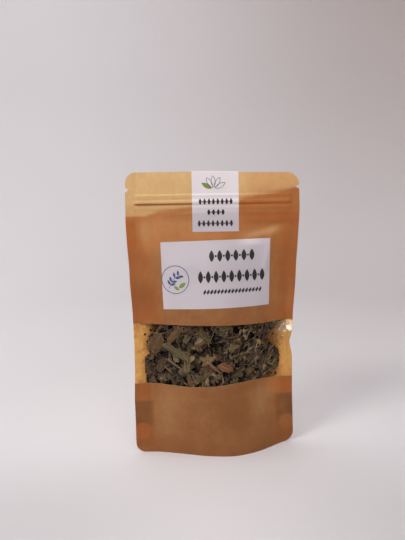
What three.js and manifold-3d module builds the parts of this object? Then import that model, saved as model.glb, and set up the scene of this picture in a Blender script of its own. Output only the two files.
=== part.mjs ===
// A stand-up kraft paper pouch of dried lemon verbena leaves.
//
// The front is a clear film web that runs the full height, with a sheet of kraft paper laminated on it
// above and below a strip window. The back is one kraft sheet, and a folded gusset joins the two at the
// bottom, so the pouch stands on its lower edges. A press-to-close zip runs inside, just under the mouth,
// and a paper seal folded over the mouth keeps it shut. A name label sits on the front. Behind the window
// lies the heap of crushed leaves, with a few larger scraps and bits of stem pressed against the film.
//
// Millimetres, +Z up, the window faces -Y. Positions on a sheet are given flat, as they are before the
// pouch is filled: u across from the middle, v up from the bottom edge. standPoint() fills the pouch.

import * as THREE from "three";
import { mergeVertices } from "three/addons/utils/BufferGeometryUtils.js";
import Module from "manifold-3d";

const wasm = await Module();
wasm.setup();

// ---- driving dimensions ----

const POUCH = { width: 110, height: 185, sideSeal: 5, cornerRadius: 5.5, gussetFold: 36.5 };
const WINDOW = { low: 47.8, high: 88.3 };
const NOTCH = { height: 174, depth: 3, halfHeight: 1.6 };
const ZIP = { height: 164.7, halfFlange: 5.5, halfLength: 49, halfThickness: 1.4 };

// Filled shape at a few heights, blended between them: the half depth at the middle, how sharply the
// front falls away from there to the side seals, and how far its bulge leans to the right.
const FILLED = [
  { v: 0, depth: 11.8, power: 1.37, skew: 0.8 },
  { v: 47.8, depth: 12.6, power: 2.36, skew: -0.43 },
  { v: 88.7, depth: 13, power: 1, skew: 0.3 },
  { v: 122, depth: 8.3, power: 1.15, skew: 0 },
  { v: 154, depth: 0, power: 1.15, skew: 0 },
];
const BACK_POWER = 1.2;
const TWIST = { slope: 0.105, height: 175 };
const FLAP_LEAN = { from: 171, curve: 0.0055 };
const PINCH = { v: 78.5, reach: 5, depth: 1.9, fromU: 30 };

// Sheets, as distances outwards from the inner face of the front or back.
const HALF_GAP = 0.15;
const GAP = 0.3;
const FILM = { inner: HALF_GAP, outer: HALF_GAP + 0.3 };
const FRONT_PAPER = { inner: FILM.outer + GAP, outer: FILM.outer + GAP + 0.4 };
const BACK_PAPER = { inner: HALF_GAP, outer: HALF_GAP + 0.5 };
const LABEL_THICKNESS = 0.25;
const FIN_HALF = 0.3;
const FIN_ROOM = FIN_HALF + GAP - HALF_GAP;

const NAME_LABEL = { width: 70.5, height: 42.6, u: 1.6, v: 120.5, turn: THREE.MathUtils.degToRad(1.25) };
const SEAL_LABEL = { width: 29.8, u: 1.9, frontLow: 147.2, backLow: 148 };

// The heap of leaves.
const HEAP = { low: 3, high: 122, coreInset: 3.1, cavityInset: 0.55, edge: 1.2 };
const SCRAP = { thickness: 0.65, length: [6.5, 12], width: [3.6, 6], windowGap: 5.4, hiddenGap: 10.5 };

const BODY = POUCH.width / 2 - POUCH.sideSeal;
const FRONT = -1;
const BACK = 1;

const PAPER_LOOK = new THREE.MeshStandardMaterial({ color: "#b48351", roughness: 0.75, metalness: 0 });
const LINER_LOOK = new THREE.MeshStandardMaterial({ color: "#c39055", roughness: 0.35, metalness: 0 });
const FILM_LOOK = new THREE.MeshStandardMaterial({
  color: "#f4efe4", roughness: 0.1, metalness: 0, transparent: true, opacity: 0.25,
});
const ZIP_LOOK = new THREE.MeshStandardMaterial({ color: "#e9e6df", roughness: 0.35, metalness: 0 });
const LABEL_LOOK = new THREE.MeshStandardMaterial({ color: "#dcd5d8", roughness: 0.6, metalness: 0 });
const leafLook = (color) => new THREE.MeshStandardMaterial({ color, roughness: 0.9, metalness: 0 });

// ---- small helpers ----

// 0 below 0, 1 above 1, and a smooth step between.
const smooth = (t) => THREE.MathUtils.smoothstep(t, 0, 1);

const evenly = (count, low, high) =>
  Array.from({ length: count + 1 }, (_, k) => low + ((high - low) * k) / count);

// A small seeded generator, so the same leaves fall the same way each time.
function seededRandom(seed) {
  let state = seed;
  return () => {
    state = (state + 0x6d2b79f5) | 0;
    let t = Math.imul(state ^ (state >>> 15), 1 | state);
    t = (t + Math.imul(t ^ (t >>> 7), 61 | t)) ^ t;
    return ((t ^ (t >>> 14)) >>> 0) / 4294967296;
  };
}

// ---- the filled shape ----

// One measure of the filled shape at height v.
function filled(measure, v) {
  const next = FILLED.findIndex((station) => station.v > v);
  if (next < 1) return FILLED.at(next)[measure];
  const [below, above] = [FILLED[next - 1], FILLED[next]];
  return THREE.MathUtils.lerp(below[measure], above[measure], smooth((v - below.v) / (above.v - below.v)));
}

// How far the front or back stands out from the middle, at a share t of the way from there to a seal.
function bulge(t, v, side) {
  const fall = Math.max(0, 1 - t * t);
  if (side === BACK) return filled("depth", v) * fall ** BACK_POWER;
  return filled("depth", v) * fall ** filled("power", v) * (1 + filled("skew", v) * t);
}

// How far the sheets stand apart where nothing fills them: over the zip, and over the gusset's fins.
function spread(v, t) {
  const zipRise = 3;
  const zipRoom = ZIP.halfThickness + GAP - HALF_GAP;
  const overZip = smooth((ZIP.halfFlange + zipRise - Math.abs(v - ZIP.height)) / zipRise);
  const alongZip = smooth((1 - Math.abs(t)) / 0.015);
  const overFins = 1 - smooth((v - POUCH.gussetFold - 1) / 4);
  return zipRoom * overZip * alongZip + FIN_ROOM * overFins;
}

// The sheet through the side seals: a slight twist at the base, and a flap that leans back above the zip.
function middle(u, v) {
  const twist = TWIST.slope * u * (1 - smooth(v / TWIST.height));
  const lean = FLAP_LEAN.curve * Math.max(0, v - FLAP_LEAN.from) ** 2;
  return twist + lean;
}

// Where flat point (u, v) of the front or back comes to once the pouch is filled.
function standPoint(u, v, side, offset) {
  const full = filled("depth", v);
  const chord = BODY - ((2 / 3) * full * full) / BODY;
  const t = THREE.MathUtils.clamp(u / BODY, -1, 1);
  const depth = bulge(t, v, side) + spread(v, t) + offset;
  const pinch = PINCH.depth * smooth((u - PINCH.fromU) / (POUCH.width / 2 - PINCH.fromU));
  const x = t * chord + (u - t * BODY) - pinch * Math.exp(-(((v - PINCH.v) / PINCH.reach) ** 2));
  return new THREE.Vector3(x, middle(u, v) + side * depth, v);
}

// Half the flat width at height v, with rounded corners and the two tear notches.
function halfWidth(v) {
  const r = POUCH.cornerRadius;
  const intoCorner = Math.max(0, r - v, v - (POUCH.height - r));
  const rounding = r - Math.sqrt(r * r - intoCorner * intoCorner);
  const notch = NOTCH.depth * Math.max(0, 1 - Math.abs(v - NOTCH.height) / NOTCH.halfHeight);
  return POUCH.width / 2 - rounding - notch;
}

// ---- solids ----

function geometryFrom(points, triangles) {
  const geometry = new THREE.BufferGeometry().setFromPoints(points);
  geometry.setIndex(triangles);
  return geometry;
}

// A closed body between two grids of points, outer and inner, each rows x columns.
function sheet(outer, inner) {
  const rows = outer.length;
  const columns = outer[0].length;
  const points = [...outer.flat(), ...inner.flat()];
  const at = (face, i, j) => face * rows * columns + i * columns + j;
  const triangles = [];
  const quad = (a, b, c, d) => triangles.push(a, b, c, a, c, d);
  for (let i = 0; i + 1 < rows; i++) {
    for (let j = 0; j + 1 < columns; j++) {
      quad(at(0, i, j), at(0, i, j + 1), at(0, i + 1, j + 1), at(0, i + 1, j));
      quad(at(1, i, j), at(1, i + 1, j), at(1, i + 1, j + 1), at(1, i, j + 1));
    }
    quad(at(0, i, 0), at(0, i + 1, 0), at(1, i + 1, 0), at(1, i, 0));
    const last = columns - 1;
    quad(at(0, i, last), at(1, i, last), at(1, i + 1, last), at(0, i + 1, last));
  }
  for (let j = 0; j + 1 < columns; j++) {
    quad(at(0, 0, j), at(1, 0, j), at(1, 0, j + 1), at(0, 0, j + 1));
    const top = rows - 1;
    quad(at(0, top, j), at(0, top, j + 1), at(1, top, j + 1), at(1, top, j));
  }
  return geometryFrom(points, triangles);
}

// A closed body through a row of rings with as many points each, closed by a fan at both ends.
function loft(rings) {
  const count = rings[0].length;
  const points = rings.flat();
  const centre = (ring) =>
    ring.reduce((sum, p) => sum.add(p), new THREE.Vector3()).divideScalar(ring.length);
  const first = points.push(centre(rings[0])) - 1;
  const last = points.push(centre(rings[rings.length - 1])) - 1;
  const triangles = [];
  for (let k = 0; k < count; k++) {
    const next = (k + 1) % count;
    for (let i = 0; i + 1 < rings.length; i++) {
      const a = i * count;
      const b = a + count;
      triangles.push(a + k, a + next, b + next, a + k, b + next, b + k);
    }
    const end = (rings.length - 1) * count;
    triangles.push(first, next, k, last, end + k, end + next);
  }
  return geometryFrom(points, triangles);
}

// A manifold-3d solid of a closed geometry, turned inside out if its faces point inwards.
function solid(geometry) {
  const bare = new THREE.BufferGeometry().setAttribute("position", geometry.getAttribute("position"));
  if (geometry.index) bare.setIndex(geometry.index);
  const merged = mergeVertices(bare, 1e-4);
  const vertProperties = merged.getAttribute("position").array;
  const triVerts = new Uint32Array(merged.index.array);
  const made = new wasm.Manifold(new wasm.Mesh({ numProp: 3, vertProperties, triVerts }));
  if (made.volume() > 0) return made;
  const turned = triVerts.slice();
  for (let i = 0; i < turned.length; i += 3) [turned[i + 1], turned[i + 2]] = [turned[i + 2], turned[i + 1]];
  return new wasm.Manifold(new wasm.Mesh({ numProp: 3, vertProperties, triVerts: turned }));
}

// The largest body of a solid, as a geometry: cuts can leave loose scraps behind.
function largestBody(whole) {
  const bodies = whole.decompose().sort((a, b) => b.volume() - a.volume());
  const mesh = bodies[0].getMesh();
  return new THREE.BufferGeometry()
    .setAttribute("position", new THREE.BufferAttribute(mesh.vertProperties, 3))
    .setIndex(new THREE.BufferAttribute(mesh.triVerts, 1));
}

const pouch = new THREE.Group();

function add(name, geometry, look) {
  const mesh = new THREE.Mesh(geometry, look);
  mesh.name = name;
  pouch.add(mesh);
  return mesh;
}

// ---- the front and back sheets ----

// Heights to place rows of points at, so that corners, notches, the zip and the shoulder come out.
function rowHeights(low, high) {
  const cornerRows = [0, 0.4, 1.6, 3.4].flatMap((h) => [h, POUCH.height - h]);
  const notchRows = [-NOTCH.halfHeight, 0, NOTCH.halfHeight].map((h) => NOTCH.height + h);
  const zipRows = [-8.5, -5.5, 5.5, 8.5].map((h) => ZIP.height + h);
  const pinchRows = [-7, -3.5, 0, 3.5].map((h) => PINCH.v + h);
  const bodyRows = [10, 19, 28, 36, 41, WINDOW.low, 57, 66, WINDOW.high, 99, 110, 122, 130, 136, 142, 148];
  const inside = [...cornerRows, ...notchRows, ...zipRows, ...pinchRows, ...bodyRows]
    .filter((h) => h > low + 1 && h < high - 1);
  const edges = [low, high, ...cornerRows.filter((h) => h >= low && h <= high)];
  return [...new Set([...edges, ...inside])].sort((a, b) => a - b);
}

// Columns as shares of the half width: the side seals, and an even run over the zip's length.
const sealShare = BODY / (POUCH.width / 2);
const zipShare = (ZIP.halfLength + 0.2) / (POUCH.width / 2);
const COLUMNS = [-1, -sealShare, ...evenly(10, -zipShare, zipShare), sealShare, 1];

function panel(low, high, side, layer) {
  const face = (offset) =>
    rowHeights(low, high).map((v) =>
      COLUMNS.map((s) => standPoint(s * halfWidth(v), v, side, offset)));
  const [near, far] = side === FRONT ? [layer.outer, layer.inner] : [layer.inner, layer.outer];
  return sheet(face(near), face(far));
}

add("front_film", panel(0, POUCH.height, FRONT, FILM), FILM_LOOK);
add("front_paper_lower", panel(0, WINDOW.low, FRONT, FRONT_PAPER), PAPER_LOOK);
add("front_paper_upper", panel(WINDOW.high, POUCH.height, FRONT, FRONT_PAPER), PAPER_LOOK);
add("back_paper", panel(0, POUCH.height, BACK, BACK_PAPER), PAPER_LOOK);

// ---- the bottom gusset ----

// The space under the gusset's arch, grown outwards by `grow`, over the flat span |u| <= reach.
function arch(grow, reach, floor) {
  const steps = evenly(10, 0, Math.PI);
  const rings = evenly(14, -reach, reach).map((u) => {
    const t = THREE.MathUtils.clamp(u / BODY, -1, 1);
    const lens = (bulge(t, 0, FRONT) + bulge(t, 0, BACK)) / 2;
    const peak = Math.sqrt(POUCH.gussetFold ** 2 - (1.15 * lens) ** 2) + Math.min(grow, 0.8) - FIN_HALF;
    const leg = (angle) => {
      const side = Math.cos(angle) > 0 ? FRONT : BACK;
      const x = standPoint(u, 0, side, 0).x;
      const z = Math.max(0, peak * Math.sin(angle) ** 0.8);
      const half = bulge(t, z, side) * Math.abs(Math.cos(angle)) + grow;
      return new THREE.Vector3(x, middle(u, z) + side * half, z);
    };
    const over = steps.map(leg);
    const [front, back] = [over[0], over[over.length - 1]];
    return [...over, new THREE.Vector3(back.x, back.y, floor), new THREE.Vector3(front.x, front.y, floor)];
  });
  return solid(loft(rings));
}

// The fins where both leaves of the gusset lie flat in a side seal.
function fin(sign) {
  const rows = [0, 0.4, 1.6, 3.4, 5.5, 15, 25, POUCH.gussetFold];
  const columns = [0, 0.5, 1];
  const face = (y) =>
    rows.map((v) =>
      columns.map((s) => {
        const u = sign * THREE.MathUtils.lerp(BODY - 2, halfWidth(v) - 0.4, s);
        const base = standPoint(u, v, FRONT, 0);
        return new THREE.Vector3(base.x, middle(u, v) + y, v);
      }));
  return solid(sheet(face(-FIN_HALF), face(FIN_HALF)));
}

const gusset = arch(FIN_HALF, BODY, 0)
  .subtract(arch(FIN_HALF - 0.4, 0.92 * BODY, -2))
  .add(fin(-1))
  .add(fin(1));
add("bottom_gusset", largestBody(gusset), LINER_LOOK);

// ---- the press-to-close zip ----

// A profile given as [outwards from the middle, up] pairs, drawn along the mouth.
function zipStrip(name, profile) {
  const shape = new THREE.Shape(profile.map(([y, z]) => new THREE.Vector2(y, z)));
  const strip = new THREE.ExtrudeGeometry(shape, { depth: 2 * ZIP.halfLength, bevelEnabled: false });
  // The profile's own axes become Y and Z, and the run becomes X.
  strip.applyMatrix4(new THREE.Matrix4().makeBasis(
    new THREE.Vector3(0, 1, 0), new THREE.Vector3(0, 0, 1), new THREE.Vector3(1, 0, 0)));
  const mesh = add(name, strip, ZIP_LOOK);
  mesh.position.set(-ZIP.halfLength, middle(0, ZIP.height), ZIP.height);
}

const flangeOuter = ZIP.halfThickness;
const flangeInner = ZIP.halfThickness - 0.35;
zipStrip("zip_groove_strip", [
  [-flangeOuter, -ZIP.halfFlange], [-flangeInner, -ZIP.halfFlange], [-flangeInner, -1.25], [0.55, -1.25],
  [0.55, -0.5], [0.2, -0.5], [0.2, -0.85], [-flangeInner, -0.85],
  [-flangeInner, 0.85], [0.2, 0.85], [0.2, 0.5], [0.55, 0.5],
  [0.55, 1.25], [-flangeInner, 1.25], [-flangeInner, ZIP.halfFlange], [-flangeOuter, ZIP.halfFlange],
]);
zipStrip("zip_rib_strip", [
  [flangeOuter, -ZIP.halfFlange], [flangeOuter, ZIP.halfFlange], [flangeInner, ZIP.halfFlange],
  [flangeInner, 0.2], [-0.1, 0.2], [-0.1, 0.55], [-0.75, 0.25],
  [-0.75, -0.25], [-0.1, -0.55], [-0.1, -0.2], [flangeInner, -0.2], [flangeInner, -ZIP.halfFlange],
]);

// ---- the two paper labels ----

// The paper's own rows and columns between two edges, with the edges, so a label bends as the paper does.
const withEdges = (values, low, high) => [low, ...values.filter((x) => x > low + 1 && x < high - 1), high];
const rowsWithin = (low, high) => withEdges(rowHeights(WINDOW.high, POUCH.height), low, high);
const columnsWithin = (left, right) => withEdges(COLUMNS.map((s) => (s * POUCH.width) / 2), left, right);

function nameLabel() {
  const { width, height, u, v, turn } = NAME_LABEL;
  const rows = rowsWithin(v - height / 2, v + height / 2);
  const tilted = (x, h, row) => (row % (rows.length - 1) ? h : h + (x - u) * Math.tan(turn));
  const face = (offset) =>
    rows.map((h, row) =>
      columnsWithin(u - width / 2, u + width / 2).map((x) =>
        standPoint(x, tilted(x, h, row), FRONT, offset)));
  const inner = FRONT_PAPER.outer + GAP;
  return sheet(face(inner + LABEL_THICKNESS), face(inner));
}

// The seal climbs the front, folds over the mouth and comes down the back.
function sealLabel() {
  const { width, u, frontLow, backLow } = SEAL_LABEL;
  const columns = columnsWithin(u - width / 2, u + width / 2);
  const lift = (extra) => {
    const front = FRONT_PAPER.outer + GAP + extra;
    const back = BACK_PAPER.outer + GAP + extra;
    const top = POUCH.height + GAP + extra;
    const shoulder = POUCH.height - 0.2;
    const over = [[-front, shoulder], [-front + 0.3, top], [back - 0.3, top], [back, shoulder]];
    const wall = (low, side, offset) =>
      rowsWithin(low, shoulder).slice(0, -1).map((v) => columns.map((x) => standPoint(x, v, side, offset)));
    return [
      ...wall(frontLow, FRONT, front),
      ...over.map(([y, z]) => columns.map((x) => new THREE.Vector3(x, middle(x, POUCH.height) + y, z))),
      ...wall(backLow, BACK, back).reverse(),
    ];
  };
  return sheet(lift(LABEL_THICKNESS), lift(0));
}

add("name_label", nameLabel(), LABEL_LOOK);
add("seal_label", sealLabel(), LABEL_LOOK);

// ---- larger scraps and stems against the film ----

const SCRAPS = [
  { name: "leaf_olive_broad", u: -40.8, v: 75, length: 12, width: 7.2, turn: 75, color: "#5d5238" },
  { name: "leaf_tan_strip", u: -27.6, v: 82.1, length: 12.4, width: 4.8, turn: 58, color: "#8a6a48" },
  { name: "leaf_green_strip", u: -26.9, v: 69.9, length: 18, width: 4.4, turn: -27, color: "#6b6a42" },
  { name: "leaf_yellow_curl", u: -6, v: 79.3, length: 9.4, width: 6, turn: -35, color: "#8a7a3e" },
  { name: "leaf_green_tip", u: 8.6, v: 85, length: 8.6, width: 5.4, turn: 15, color: "#7d7a3a" },
  { name: "leaf_pale_scrap", u: 12.8, v: 72.8, length: 6.8, width: 4.2, turn: 20, color: "#8f7d4e" },
  { name: "leaf_rust", u: 8.3, v: 58.8, length: 10.4, width: 5.6, turn: -28, color: "#8a4f32" },
  { name: "leaf_grey_oval", u: 25.5, v: 66.6, length: 7.6, width: 3.9, turn: 14, color: "#6a5f4a" },
  { name: "leaf_brown_low", u: -37.2, v: 60, length: 9, width: 5.4, turn: 72, color: "#5c4634" },
];
const STEMS = [
  { name: "stem_long", from: [-32, 64.7], to: [-20.4, 56.7], radius: 0.7, color: "#7c644b" },
  { name: "stem_short", from: [-16, 56], to: [-13.2, 50.6], radius: 0.6, color: "#7c644b" },
];
const SCRAP_INSET = 0.55;

// A leaf fragment lying just behind the film, arched across its rib, with a broken edge.
function faceScrap(scrap, grow) {
  const turn = THREE.MathUtils.degToRad(scrap.turn);
  const face = (inset) =>
    evenly(5, -1, 1).map((s, i) => {
      const blunt = scrap.length > 2.5 * scrap.width;
      const taper = blunt ? 1 - 0.25 * s ** 4 : Math.sqrt(1 - 0.86 * s * s) * (1 - 0.15 * s);
      const broken = 1 + 0.14 * Math.sin(2.4 * i + scrap.u);
      return [-1, -0.45, 0.45, 1].map((across) => {
        const a = s * (scrap.length / 2 + grow);
        const b = across * ((scrap.width / 2) * taper * broken + grow);
        const u = scrap.u + a * Math.cos(turn) - b * Math.sin(turn);
        const v = scrap.v + a * Math.sin(turn) + b * Math.cos(turn);
        return standPoint(u, v, FRONT, -inset - 0.5 * Math.abs(across));
      });
    });
  return sheet(face(SCRAP_INSET + SCRAP.thickness + grow), face(SCRAP_INSET - grow));
}

// A twig between two flat points behind the film.
function stem({ from, to, radius }, grow) {
  const inset = -SCRAP_INSET - radius - 0.2;
  const path = new THREE.CatmullRomCurve3([0, 0.5, 1].map((s) => {
    const u = THREE.MathUtils.lerp(from[0], to[0], s);
    const v = THREE.MathUtils.lerp(from[1], to[1], s) + Math.sin(Math.PI * s) * 0.6;
    return standPoint(u, v, FRONT, inset);
  }));
  const section = new THREE.Shape([0, 1, 2, 3, 4, 5].map((k) => {
    const angle = (k * Math.PI) / 3;
    return new THREE.Vector2(Math.cos(angle), Math.sin(angle)).multiplyScalar(radius + grow);
  }));
  return new THREE.ExtrudeGeometry(section, { extrudePath: path, steps: 4, bevelEnabled: false });
}

// A dried flower head: a flat five-pointed star with a short tail.
const CALYX = { name: "calyx", u: -5, v: 63.6, outer: 5.6, inner: 2.6, thickness: 0.9, color: "#80684a" };
function calyx(grow) {
  const star = new THREE.Shape([0, 1, 2, 3, 4, 5, 6, 7, 8, 9].map((k) => {
    const radius = (k % 2 ? CALYX.inner : CALYX.outer * (k === 8 ? 1.35 : 1)) + grow;
    const angle = 0.25 + (k * Math.PI) / 5;
    return new THREE.Vector2(radius * Math.cos(angle), radius * Math.sin(angle));
  }));
  const depth = CALYX.thickness + 2 * grow;
  const body = new THREE.ExtrudeGeometry(star, { depth, bevelEnabled: false });
  const place = standPoint(CALYX.u, CALYX.v, FRONT, -SCRAP_INSET - 0.35 + grow);
  body.rotateX(Math.PI / 2);
  body.translate(place.x, place.y + depth, place.z);
  return body;
}

const CLEARANCE = 0.35;
const keepOut = [];
for (const scrap of SCRAPS) {
  add(scrap.name, faceScrap(scrap, 0), leafLook(scrap.color));
  keepOut.push(solid(faceScrap(scrap, CLEARANCE)));
}
for (const twig of STEMS) {
  add(twig.name, stem(twig, 0), leafLook(twig.color));
  keepOut.push(solid(stem(twig, CLEARANCE)));
}
add(CALYX.name, calyx(0), leafLook(CALYX.color));
keepOut.push(solid(calyx(CLEARANCE)));

// ---- the heap of crushed leaves ----

// The inside of the filled pouch, drawn in from its walls by `inset`, with a low dome on top.
function inside(inset, low, high) {
  const heights = [low, 20, 36, 60, 90, high - 8, high - 2.5, high];
  const across = evenly(8, -1, 1);
  const rings = heights.map((v, level) => {
    const crown = level === heights.length - 1 ? 0.72 : level === heights.length - 2 ? 0.9 : 1;
    const reach = (BODY - HEAP.edge - 1.4 * inset) * crown;
    const wall = (side) => across.map((s) => {
      const p = standPoint(s * reach, v, side, 0);
      const centre = middle(s * reach, v);
      const depth = Math.max(0.5, (Math.abs(p.y - centre) - inset) * crown);
      return new THREE.Vector3(p.x, centre + side * depth, v);
    });
    return [...wall(FRONT), ...wall(BACK).reverse()];
  });
  return solid(loft(rings));
}

// One crushed leaf scrap: two halves folded along the rib, with an uneven outline.
function scrapBlade(random) {
  const between = ([low, high]) => THREE.MathUtils.lerp(low, high, random());
  const length = between(SCRAP.length);
  const width = between(SCRAP.width);
  const fold = between([0.15, 0.7]);
  const corners = [[-0.5, 0], [-0.3, 0.5], [0.25, 0.45], [0.5, 0], [0.3, -0.5], [-0.2, -0.45]];
  const outline = corners.map(([a, b]) => [
    a * length * between([0.8, 1.1]),
    b * width * between([0.75, 1.1]),
  ]);
  const layer = (z) => outline.map(([x, y]) => new THREE.Vector3(x, y, z - Math.abs(y) * fold));
  const points = [...layer(SCRAP.thickness / 2), ...layer(-SCRAP.thickness / 2)];
  const triangles = [0, 2, 1, 0, 3, 2, 0, 5, 4, 0, 4, 3, 6, 7, 8, 6, 8, 9, 6, 10, 11, 6, 9, 10];
  for (let k = 0; k < 6; k++) {
    const next = (k + 1) % 6;
    triangles.push(k, next, next + 6, k, next + 6, k + 6);
  }
  return geometryFrom(points, triangles);
}

// Seats for the scraps on the core, as { place, outwards }: close together behind the window, sparser
// elsewhere.
function scrapSeats(random) {
  const reach = BODY - HEAP.edge - 1.4 * HEAP.coreInset;
  const seats = [];
  const tryWall = (side, low, high, gap, tries) => {
    for (let k = 0; k < tries; k++) {
      const u = (2 * random() - 1) * reach * 0.985;
      const v = THREE.MathUtils.lerp(low, high, random());
      const place = standPoint(u, v, side, -HEAP.coreInset + 0.5);
      const along = standPoint(u + 1, v, side, -HEAP.coreInset + 0.5).sub(place);
      const up = standPoint(u, v + 1, side, -HEAP.coreInset + 0.5).sub(place);
      const outwards = along.cross(up).normalize().multiplyScalar(-side);
      if (seats.every((seat) => seat.place.distanceTo(place) > gap)) seats.push({ place, outwards });
    }
  };
  tryWall(FRONT, WINDOW.low - 2, WINDOW.high + 2, SCRAP.windowGap, 2600);
  tryWall(FRONT, 6, HEAP.high - 4, SCRAP.hiddenGap, 500);
  tryWall(BACK, 6, HEAP.high - 4, SCRAP.hiddenGap, 700);
  for (let k = 0; k < 300; k++) {
    const u = (2 * random() - 1) * reach * 0.66;
    const depth = (2 * random() - 1) * 0.55 * filled("depth", HEAP.high);
    const place = new THREE.Vector3(u, middle(u, HEAP.high) + depth, HEAP.high - HEAP.coreInset + 0.6);
    const clear = seats.every((seat) => seat.place.distanceTo(place) > 7.5);
    if (clear) seats.push({ place, outwards: new THREE.Vector3(0, 0, 1) });
  }
  return seats;
}

function leafHeap() {
  const random = seededRandom(20615);
  const blades = scrapSeats(random).map(({ place, outwards }) => {
    const tilt = new THREE.Vector3(random() - 0.5, random() - 0.5, random() - 0.5).multiplyScalar(0.95);
    const facing = outwards.clone().add(tilt).normalize();
    const turn = new THREE.Quaternion().setFromUnitVectors(new THREE.Vector3(0, 0, 1), facing);
    const spin = new THREE.Quaternion().setFromAxisAngle(new THREE.Vector3(0, 0, 1), random() * Math.PI * 2);
    const blade = scrapBlade(random).applyQuaternion(turn.multiply(spin));
    return solid(blade.translate(place.x, place.y, place.z));
  });
  const core = inside(HEAP.coreInset, HEAP.low + 2, HEAP.high - HEAP.coreInset);
  const cavity = inside(HEAP.cavityInset, HEAP.low, HEAP.high + 3)
    .subtract(arch(FIN_HALF + 0.4, BODY, -2));
  const heap = wasm.Manifold.union([core, ...blades]).intersect(cavity);
  return heap.subtract(wasm.Manifold.union(keepOut)).simplify(0.05);
}

add("leaf_heap", largestBody(leafHeap()), leafLook("#4a4230"));

// The origin is the bottom centre of the whole pouch's box.
const box = new THREE.Box3().setFromObject(pouch, true);
const centre = box.getCenter(new THREE.Vector3());
pouch.position.set(-centre.x, -centre.y, -box.min.z);

export default pouch;
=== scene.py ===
"""The looks of a stand-up kraft pouch of dried lemon verbena leaves.

Kraft paper sheets with a strip window of clear film, a folded bottom gusset, a press-to-close zip,
two paper labels with generic ornament, and crushed leaves behind the window. Positions on a sheet are
given flat, in millimetres: u across from the middle, v up from the bottom edge.
"""

import math

import bpy
import numpy as np
from mathutils import Matrix, Vector


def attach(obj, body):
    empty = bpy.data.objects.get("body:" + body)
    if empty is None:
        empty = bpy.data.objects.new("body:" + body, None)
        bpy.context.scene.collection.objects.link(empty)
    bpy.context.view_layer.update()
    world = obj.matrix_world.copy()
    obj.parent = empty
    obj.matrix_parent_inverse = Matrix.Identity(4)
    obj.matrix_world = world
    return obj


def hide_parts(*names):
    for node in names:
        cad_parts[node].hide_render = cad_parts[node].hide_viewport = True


bl_info = {
    "name": "Herb pouch",
    "version": (1, 0, 0),
    "blender": (4, 5, 0),
    "location": "View3D > Sidebar > Pouch",
    "description": "Builds a kraft stand-up pouch of dried leaves around its frame",
    "category": "Object",
}

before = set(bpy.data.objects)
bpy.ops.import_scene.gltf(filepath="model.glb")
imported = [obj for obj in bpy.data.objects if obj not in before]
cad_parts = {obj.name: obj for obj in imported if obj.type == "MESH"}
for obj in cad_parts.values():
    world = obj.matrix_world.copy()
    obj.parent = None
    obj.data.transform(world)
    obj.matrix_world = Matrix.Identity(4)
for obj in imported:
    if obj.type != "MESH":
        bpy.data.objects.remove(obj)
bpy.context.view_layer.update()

MM = 0.001
FRONT, BACK = -1, 1

# ---- the filled shape, as the frame's own, in millimetres ----

WIDTH, HEIGHT, SIDE_SEAL, FOLD = 110.0, 185.0, 5.0, 36.5
HALF = WIDTH / 2
BODY = HALF - SIDE_SEAL
WINDOW_LOW, WINDOW_HIGH = 47.8, 88.3
# Corner radii and notch heights, each at the left and at the right.
FOOT_CORNER, TOP_CORNER, NOTCH_V = (6.2, 6.6), (6.3, 7.9), (174.2, 175.2)
NOTCH_DEPTH, NOTCH_HALF = 2.4, 1.5
# The zip's height, half its length, and the heights between which its flanges lift the front.
ZIP_V, ZIP_HALF_LENGTH, ZIP_FLANGES = 166.1, 49.0, (156.6, 171.5)
# The filled shape at heights v: its depth, the power it falls off with towards the sides, and how skew it is.
STATIONS = {
    "v": [0, 47.8, 88.7, 122, 154],
    "depth": [11.8, 12.6, 13, 8.3, 0],
    "power": [1.37, 2.36, 1, 1.15, 1.15],
    "skew": [0.8, -0.43, 0.3, 0, 0],
}
BACK_POWER = 1.2
# The base's twist and how far up it reaches, the flap that leans back, and the pinch at the right.
TWIST_SLOPE, TWIST_V = 0.105, 175.0
LEAN_V, LEAN_CURVE = 171.0, 0.0055
PINCH_V, PINCH_REACH, PINCH_DEPTH, PINCH_U = 72.0, 6.0, 1.9, 30.0
# The gap that the gusset's fins hold open, the swell of the front's foot, and how the mouth rises and falls.
FIN_GAP, FOOT_SWELL, MOUTH_RISE, MOUTH_FALL = 0.45, 0.9, 0.35, 1.2
# Creases with less reach than this have a sharp ridge, and all fade out this far from the side seals.
SHARP_REACH, SEAL_FADE = 2, 7
# How far the left and the right edge wander outwards, at heights v, and over which part of the width.
WANDER_FROM, WANDER_REACH = 20, 35
EDGE_WANDER = {
    "v": [0, 9, 20, 37, 48, 58, 74, 87, 100, 116, 143, 155, 161, 171, 185],
    "left": [0.1, 0.4, 0.35, 0.6, 0.3, 0, 0, 0.35, 0.3, 0.4, 0.6, 0.9, 0.7, 0.6, 0],
    "right": [0.8, 1.15, 0.8, 0.3, 0.2, 0, 0, 0, 0, 0, 0.1, 0.6, 0.8, 0.45, 0],
}
# How far the frame's origin lies from the middle of the side seals, in Y.
SHIFT_Y = 0.29

# Sheets, as distances outwards from the inner face: (inner, outer).
FILM = (0.03, 0.2)
PAPER = (0.22, 0.5)
BACKING = (0.03, 0.45)
GUSSET = (0, 0.16)
LABEL = (0.52, 0.64)
PRINT = (0.69, 0.71)

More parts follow.
